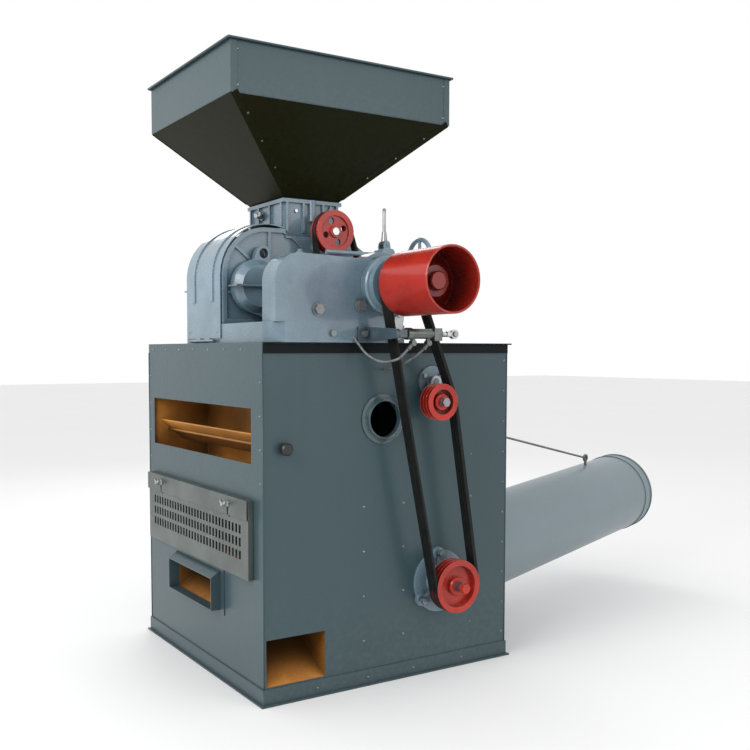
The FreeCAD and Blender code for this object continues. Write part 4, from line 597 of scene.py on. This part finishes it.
def rounded_rectangle(x0, x1, y0, y1, z, radius, steps=5):
    points = []
    for cx, cy, start in ((x1 - radius, y1 - radius, 0), (x0 + radius, y1 - radius, 90),
                          (x0 + radius, y0 + radius, 180), (x1 - radius, y0 + radius, 270)):
        for i in range(steps + 1):
            angle = math.radians(start + 90 * i / steps)
            points.append((cx + radius * math.cos(angle), cy + radius * math.sin(angle), z))
    return points


def joint_place(name):
    for joint in frame["joints"]:
        if joint["name"] == name:
            return Vector(joint["pos_m"])
    raise RuntimeError("no joint named " + name)


def mount(name):
    for place in frame["record"]["mounts"]:
        if place["name"] == name:
            return place
    raise RuntimeError("no mount named " + name)


class CLEANER_OT_cabinet(bpy.types.Operator):
    """Paints the cabinet's panels, rails and shutter"""
    bl_idname = "cleaner.cabinet"
    bl_label = "Cabinet finish"

    def execute(self, context):
        paint = context.scene.cleaner_paint
        panel = enamel("Hammer_enamel_panels", paint.panel, mark=paint.hammer_size, wear=paint.edge_wear,
                       dust=paint.dust)
        dress(panel, "left_panel", "front_panel", "right_panel", "rear_panel", "top_plate", "cabinet_frame",
              "rice_spout", "fan_scroll")
        # The front top rail takes the panel colour darkened to 7 per cent, near black, with little shine.
        rail = enamel("Near_black_rail", shade(paint.panel, 0.07), gloss=0.48, mark=paint.hammer_size * 0.7,
                      wear=paint.edge_wear, coat=0.02, dust=0.0, shine=0.12)
        dress(rail, "front_top_rail")
        dress(shutter_finish("Olive_zinc_shutter", paint.shutter), "air_shutter")
        dress(cast_enamel("Enamel_port_ring", shade(paint.panel, 1.05), sand=0.006, sand_depth=0.0002),
              "port_ring")
        return {"FINISHED"}


class CLEANER_OT_inner_ducts(bpy.types.Operator):
    """Paints the orange sheet-work seen through the openings"""
    bl_idname = "cleaner.inner_ducts"
    bl_label = "Inner duct finish"

    def execute(self, context):
        orange = primer("Orange_primer", context.scene.cleaner_paint.orange)
        dress(orange, "separation_duct", "air_baffle", "grain_chutes")
        return {"FINISHED"}


class CLEANER_OT_head(bpy.types.Operator):
    """Paints the castings of the husking head"""
    bl_idname = "cleaner.head"
    bl_label = "Head castings finish"

    def execute(self, context):
        colour = context.scene.cleaner_paint.casting
        casting = cast_enamel("Gloss_casting_enamel", colour)
        dress(casting, "head_base", "chamber_front", "chamber_rear", "gear_case", "fast_bearings",
              "swing_arms",
              "feed_box", "idler_bracket", "adjuster_bracket", "fan_bearing")
        # Painted light: the roll cover and shoulder get the casting enamel lightened by 12 per cent, a lit copy of
        # the same paint.
        guard = cast_enamel("Pressed_guard_enamel", shade(colour, 1.12), sand=0.009, sand_depth=0.0002,
                            gloss=0.24)
        dress(guard, "roll_cover", "chamber_shoulder")
        # Painted shade: the cylinder bracket gets the casting enamel darkened to 35 per cent, a shaded copy of the
        # same paint.
        dark = cast_enamel("Shaded_copy_bracket_enamel", shade(colour, 0.35), gloss=0.32)
        dress(dark, "cylinder_bracket")
        # Painted light: the handwheel gets the casting enamel lightened by a quarter, a lit copy of the same
        # paint.
        dress(cast_enamel("Handwheel_enamel", shade(colour, 1.25), gloss=0.22), "handwheel")
        return {"FINISHED"}


class CLEANER_OT_drive(bpy.types.Operator):
    """Paints the drum and the pulleys, and gives the belts their rubber"""
    bl_idname = "cleaner.drive"
    bl_label = "Drive finish"

    def execute(self, context):
        red = context.scene.cleaner_paint.red
        main = joint_place("main_spin")
        # Painted shade: the drum gets the red darkened to 85 per cent and the drive pulleys to 75 per cent, shaded
        # copies of the same paint; the drum's longer corner reach also paints its hollow inside in shade.
        dress(pulley_enamel("Red_drum", shade(red, 0.85), (main.x, main.z), recess=0.16), "main_drum")
        dress(pulley_enamel("Red_drive_pulleys", shade(red, 0.75), (main.x, main.z)), "drive_pulleys")
        for node, joint in (("fan_pulley", "fan_spin"), ("idler_pulley", "idler_spin"),
                            ("feed_pulley", "feed_spin")):
            centre = joint_place(joint)
            dress(pulley_enamel("Red_" + node, red, (centre.x, centre.z)), node)
        dress(belt_rubber("Wrapped_belt_rubber"), "belts")
        return {"FINISHED"}


class CLEANER_OT_hopper(bpy.types.Operator):
    """Paints the hopper"""
    bl_idname = "cleaner.hopper"
    bl_label = "Hopper finish"

    def execute(self, context):
        paint = context.scene.cleaner_paint
        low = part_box("hopper_cone")[0].z
        dress(enamel("Hopper_band_enamel", paint.hopper, mark=paint.hammer_size, wear=paint.edge_wear,
                     low=low),
              "hopper_band")
        dress(enamel("Hopper_cone_gloss", paint.cone, gloss=0.30, mark=paint.hammer_size * 2.4,
                     mark_depth=0.0002,
                     wear=paint.edge_wear * 0.6, coat=0.0, dust=0.01, low=low, shine=0.05), "hopper_cone")
        return {"FINISHED"}


class CLEANER_OT_duct(bpy.types.Operator):
    """Paints the exhaust duct and its stay"""
    bl_idname = "cleaner.duct"
    bl_label = "Duct finish"

    def execute(self, context):
        paint = context.scene.cleaner_paint
        dress(enamel("Duct_enamel", paint.duct, gloss=0.36, mark=paint.hammer_size * 0.8,
                     wear=paint.edge_wear,
                     dust=0.15), "exhaust_duct")
        dress(metal("Stay_steel", (0.20, 0.20, 0.20), 0.42, rust=0.5), "duct_stay")
        return {"FINISHED"}


class CLEANER_OT_works(bpy.types.Operator):
    """Gives shafts, gears, rolls, levers and fasteners their metals, rubber and plastic"""
    bl_idname = "cleaner.works"
    bl_label = "Shafts and small parts finish"

    def execute(self, context):
        turned = metal("Turned_steel", (0.56, 0.57, 0.58), 0.26, brushed=(1.0, 9.0, 1.0), rust=0.12)
        dress(turned, "main_shaft", "slow_shaft", "feed_roll", "feed_gate", "swing_pins", "cylinder_rod")
        dress(metal("Oiled_gear_steel", (0.30, 0.29, 0.27), 0.30, rust=0.0), "fast_gear", "slow_gear")
        zinc = metal("Zinc_plate", (0.50, 0.51, 0.50), 0.34, rust=0.35, brush_scale=500.0)
        dress(zinc, "wing_knob_front", "wing_knob_rear", "gate_knob")
        dress(metal("Grey_bolt_heads", (0.30, 0.34, 0.35), 0.38, rust=0.25, brush_scale=500.0),
              "machine_bolts")
        dress(metal("Drawn_steel_levers", (0.36, 0.37, 0.38), 0.34, brushed=(1.0, 1.0, 0.2), rust=0.3),
              "press_lever", "engage_lever", "idler_arm")
        dress(metal("Cylinder_gunmetal", (0.16, 0.18, 0.17), 0.30, brushed=(0.2, 4.0, 4.0), rust=0.0),
              "air_cylinder")
        dress(metal("Fan_sheet_steel", (0.24, 0.25, 0.26), 0.45, rust=0.5), "fan_rotor")
        dress(metal("Dulled_screw_heads", (0.20, 0.24, 0.25), 0.34, rust=0.10, brush_scale=500.0),
              "screw_heads")
        dress(roll_rubber("Husking_rubber"), "fast_roll", "slow_roll")
        dress(plastic("Black_knob_plastic", (0.012, 0.012, 0.013)), "baffle_knob")
        dress(nylon_tube("Smoked_nylon_tube"), "air_tubes")
        return {"FINISHED"}


class CLEANER_OT_hopper_trim(bpy.types.Operator):
    """Adds the wired rim of the hopper and the lapped seams on its four corners"""
    bl_idname = "cleaner.hopper_trim"
    bl_label = "Hopper rim and seams"

    def execute(self, context):
        trim = context.scene.cleaner_trim
        low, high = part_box("hopper_band")
        lip = 10 * MM
        radius = trim.rim_radius
        band_paint = frame["nodes"]["hopper_band"].material_slots[0].material
        cone_paint = frame["nodes"]["hopper_cone"].material_slots[0].material
        rim = bmesh.new()
        sweep(rim, rounded_rectangle(low.x, high.x, low.y, high.y, high.z - radius, 6 * MM), radius,
              closed=True)
        finished_piece("hopper_rim", rim, band_paint, "root")
        flange = 9 * MM
        mouth_low, mouth_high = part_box("feed_box")
        mouth_top = mouth_high.z
        seams = bmesh.new()
        laps = bmesh.new()
        for side_x, mouth_x, band_x in ((-1, mouth_low.x + flange, low.x + lip),
                                        (1, mouth_high.x - flange, high.x - lip)):
            for side_y, mouth_y, band_y in ((-1, MOUTH_FRONT, low.y + lip), (1, MOUTH_REAR, high.y - lip)):
                foot = Vector((mouth_x, mouth_y, mouth_top))
                head = Vector((band_x, band_y, low.z))
                along = (head - foot).normalized()
                inward = Vector((-side_x, 0, 0))
                inward = (inward - along * inward.dot(along)).normalized()
                out = along.cross(inward).normalized()
                if out.y * side_y < 0:
                    out = -out
                start, end = foot + along * 0.02, head - along * 0.004
                width = trim.seam_width
                slab(seams, [start, end, end + inward * width, start + inward * width],
                     out * trim.seam_height)
                sweep(seams, [start, end], trim.seam_height * 1.3, sides=8)
                base = Vector((band_x, band_y, low.z))
                top = Vector((band_x, band_y, high.z - 6 * MM))
                across = Vector((-side_x * width, 0, 0))
                slab(laps, [base, top, top + across, base + across], (0, side_y * trim.seam_height, 0))
        finished_piece("hopper_corner_seams", seams, cone_paint, "root", bevel=0.5 * MM,
                       smooth=False)
        finished_piece("hopper_band_laps", laps, band_paint, "root", bevel=0.5 * MM,
                       smooth=False)
        joint = bmesh.new()
        sweep(joint,
              rounded_rectangle(low.x + lip, high.x - lip, low.y + lip, high.y - lip, low.z + 1 * MM, 3 * MM),
              1.8 * MM, closed=True, sides=8)
        finished_piece("hopper_fold", joint, band_paint, "root")
        gasket = bmesh.new()
        sweep(gasket, rounded_rectangle(mouth_low.x + flange - 1 * MM, mouth_high.x - flange + 1 * MM,
                                        MOUTH_FRONT - 1 * MM,
                                        MOUTH_REAR + 1 * MM, mouth_top + 1.5 * MM, 5 * MM), 2.4 * MM,
              closed=True, sides=8)
        finished_piece("hopper_gasket", gasket, plastic("Gasket_rubber", (0.014, 0.014, 0.013), 0.6, 0.002),
                       "root")
        return {"FINISHED"}


class CLEANER_OT_duct_trim(bpy.types.Operator):
    """Adds the duct's rolled mouth, its long seam and the weld at its collar"""
    bl_idname = "cleaner.duct_trim"
    bl_label = "Duct seam and weld"

    def execute(self, context):
        trim = context.scene.cleaner_trim
        outlet = mount("duct_outlet")
        axis = Vector(outlet["axis"]).normalized()
        middle = Vector(outlet["pos_m"])
        bore = outlet["dims"]["r_mm"] * MM
        outer = bore + DUCT_GAUGE
        side = axis.cross(Vector((0, 0, 1))).normalized()
        up = side.cross(axis).normalized()
        face = cad_side() + COLLAR_GAUGE
        end = middle + axis * (outlet["dims"]["length_mm"] / 2 * MM)

        def on_skin(turn, along, reach):
            return middle + axis * along + (side * math.cos(turn) + up * math.sin(turn)) * reach

        weld = bmesh.new()
        points = []
        for i in range(120):
            turn = 2 * math.pi * i / 120
            spot = on_skin(turn, 0, outer + SLEEVE_STEP)
            points.append(spot + axis * ((face + 1 * MM - spot.x) / axis.x))
        sweep(weld, points, trim.weld_radius, closed=True, sides=8, ripple=0.18)
        paint = frame["nodes"]["exhaust_duct"].material_slots[0].material
        finished_piece("collar_weld", weld, paint, "root")
        seam = bmesh.new()
        start = (face + SLEEVE_REACH - middle.x) / axis.x
        stop = (end - middle).length - 70 * MM
        turn = math.radians(248)
        count = 60
        sweep(seam, [on_skin(turn, start + (stop - start) * i / count, outer) for i in range(count + 1)],
              trim.weld_radius * 0.9, sides=8, ripple=0.06)
        finished_piece("duct_seam", seam, paint, "root")
        rim = bmesh.new()
        sweep(rim, [end + (side * math.cos(a) + up * math.sin(a)) * (bore + 1.5 * MM)
                    for a in (2 * math.pi * i / 96 for i in range(96))], 3.0 * MM, closed=True, sides=8)
        finished_piece("duct_rolled_mouth", rim, paint, "root")
        return {"FINISHED"}


def cad_side():
    """X of the right panel's outer face, which the duct collar seats on."""
    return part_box("front_panel")[1].x


class CLEANER_OT_cabinet_trim(bpy.types.Operator):
    """Adds the folded corners of the cabinet and the weld along its base rail"""
    bl_idname = "cleaner.cabinet_trim"
    bl_label = "Cabinet folds"

    def execute(self, context):
        low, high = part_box("front_panel")
        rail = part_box("front_top_rail")[0].z
        base = BASE_RAIL_TOP
        paint = frame["nodes"]["front_panel"].material_slots[0].material
        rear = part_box("rear_panel")[1].y
        folds = bmesh.new()
        for x in (low.x, high.x):
            for y in (low.y, rear):
                sweep(folds, [(x, y, base + 1 * MM), (x, y, (low.z + high.z) / 2), (x, y, rail)], 2.2 * MM,
                      sides=10)
        finished_piece("cabinet_corner_folds", folds, paint, "root")
        weld = bmesh.new()
        count = 140
        for x0, y0, x1, y1 in ((low.x, low.y, high.x, low.y), (low.x, low.y, low.x, rear)):
            shift = 1.5 * MM
            points = []
            for i in range(count + 1):
                share = i / count
                points.append((x0 + (x1 - x0) * share - (shift if x0 == x1 else 0),
                               y0 + (y1 - y0) * share - (shift if y0 == y1 else 0), base))
            sweep(weld, points, 1.8 * MM, sides=6, ripple=0.15)
        finished_piece("base_rail_weld", weld, paint, "root")
        return {"FINISHED"}


class CLEANER_OT_grease_points(bpy.types.Operator):
    """Adds grease nipples to the bearings"""
    bl_idname = "cleaner.grease_points"
    bl_label = "Grease nipples"

    def execute(self, context):
        brass = metal("Nipple_brass", (0.62, 0.44, 0.18), 0.28, rust=0.05, brush_scale=400.0)
        profile = [(5.0, 0.0), (5.0, 3.0), (3.2, 3.4), (3.2, 6.0), (2.2, 6.8), (3.0, 8.6), (2.4, 10.2),
                   (0.0, 10.8)]
        profile = [(r * MM, h * MM) for r, h in profile]
        fan = joint_place("fan_spin")
        main = joint_place("main_spin")
        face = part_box("front_panel")[0].y
        points = bmesh.new()
        lathe(points, profile, (fan.x - 20 * MM, face - 24 * MM, fan.z + 48 * MM), (-0.35, -0.2, 1.0),
              sides=6)
        for bearing_y in BEARING_PLACES:
            lathe(points, profile, (main.x, bearing_y, main.z + 55.5 * MM), (0, 0, 1), sides=6)
        finished_piece("grease_nipples", points, brass, "root", smooth=False)
        return {"FINISHED"}


class CLEANER_OT_stage(bpy.types.Operator):
    """Lays the plain floor, sets soft studio light and places the camera as in the photograph"""
    bl_idname = "cleaner.stage"
    bl_label = "Floor, light and camera"

    def execute(self, context):
        stage = context.scene.cleaner_stage
        half = stage.floor_size / 2
        mesh = bpy.data.meshes.new("studio_floor")
        ground = cad_box[0].z - 0.5 * MM
        mesh.from_pydata([(-half, -half, ground), (half, -half, ground), (half, half, ground),
                          (-half, half, ground)], [],
                         [(0, 1, 2, 3)])
        floor = bpy.data.objects.new("studio_floor", mesh)
        context.scene.collection.objects.link(floor)
        s = Shader("Pale_floor")
        cloud = s.noise(0.6, 2.0, 0.5)
        mesh.materials.append(s.set(Base_Color=s.mix(cloud, (0.80, 0.80, 0.80), (0.83, 0.83, 0.83)),
                                    Roughness=0.7))

        world = bpy.data.worlds.new("even_studio_light")
        world.use_nodes = True
        sky = world.node_tree.nodes["Background"]
        sky.inputs["Color"].default_value = (1.0, 1.0, 1.0, 1.0)
        sky.inputs["Strength"].default_value = stage.sky
        context.scene.world = world

        centre = (cad_box[0] + cad_box[1]) / 2
        for name, place, size, power in (("window_side_key", (-4.2, -1.6, 3.4), 2.6, stage.key_power),
                                         ("belt_side_fill", (1.8, -5.0, 2.6), 3.0, stage.fill_power),
                                         ("rear_rim", (1.5, 4.0, 3.6), 2.4, stage.fill_power * 1.2)):
            lamp = bpy.data.lights.new(name, "AREA")
            lamp.shape = "SQUARE"
            lamp.size = size
            lamp.energy = power
            lamp_object = bpy.data.objects.new(name, lamp)
            lamp_object.location = place
            aim = centre - Vector(place)
            lamp_object.rotation_euler = aim.to_track_quat("-Z", "Y").to_euler()
            context.scene.collection.objects.link(lamp_object)

        context.scene.view_settings.view_transform = "Standard"

        camera = bpy.data.cameras.new("photo_camera")
        camera.sensor_width = SENSOR_MM
        camera.lens = stage.focal_pixels / PHOTO_PIXELS * SENSOR_MM
        camera.shift_x = (PHOTO_PIXELS / 2 - stage.centre_x) / PHOTO_PIXELS
        camera.shift_y = (stage.centre_y - PHOTO_PIXELS / 2) / PHOTO_PIXELS
        camera.clip_start = 0.05
        camera.clip_end = 300
        camera_object = bpy.data.objects.new("photo_camera", camera)
        camera_object.location = stage.eye
        camera_object.rotation_euler = (math.pi / 2 - stage.tilt, 0, -stage.heading)
        context.scene.collection.objects.link(camera_object)
        context.scene.camera = camera_object
        return {"FINISHED"}


steps = (CLEANER_OT_cabinet, CLEANER_OT_inner_ducts, CLEANER_OT_head, CLEANER_OT_drive, CLEANER_OT_hopper,
         CLEANER_OT_duct, CLEANER_OT_works, CLEANER_OT_hopper_trim, CLEANER_OT_duct_trim,
         CLEANER_OT_cabinet_trim,
         CLEANER_OT_grease_points, CLEANER_OT_stage)


class CLEANER_PT_steps(bpy.types.Panel):
    """Lists the steps that dress the machine"""
    bl_label = "Grain Cleaner"
    bl_idname = "CLEANER_PT_steps"
    bl_space_type = "VIEW_3D"
    bl_region_type = "UI"
    bl_category = "Grain Cleaner"

    def draw(self, context):
        for step in steps:
            self.layout.operator(step.bl_idname)
        for group in (context.scene.cleaner_paint, context.scene.cleaner_trim, context.scene.cleaner_stage):
            box = self.layout.box()
            for name in group.__annotations__:
                box.prop(group, name)


groups = (("cleaner_paint", PaintSettings), ("cleaner_trim", TrimSettings), ("cleaner_stage", StageSettings))


def register():
    for name, group in groups:
        bpy.utils.register_class(group)
        setattr(bpy.types.Scene, name, bpy.props.PointerProperty(type=group))
    for item in steps + (CLEANER_PT_steps,):
        bpy.utils.register_class(item)


def unregister():
    for item in reversed(steps + (CLEANER_PT_steps,)):
        bpy.utils.unregister_class(item)
    for name, group in reversed(groups):
        delattr(bpy.types.Scene, name)
        bpy.utils.unregister_class(group)


def main():
    register()
    for step in steps:
        family, action = step.bl_idname.split(".")
        getattr(getattr(bpy.ops, family), action)()
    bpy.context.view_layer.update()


if __name__ == "__main__":
    main()
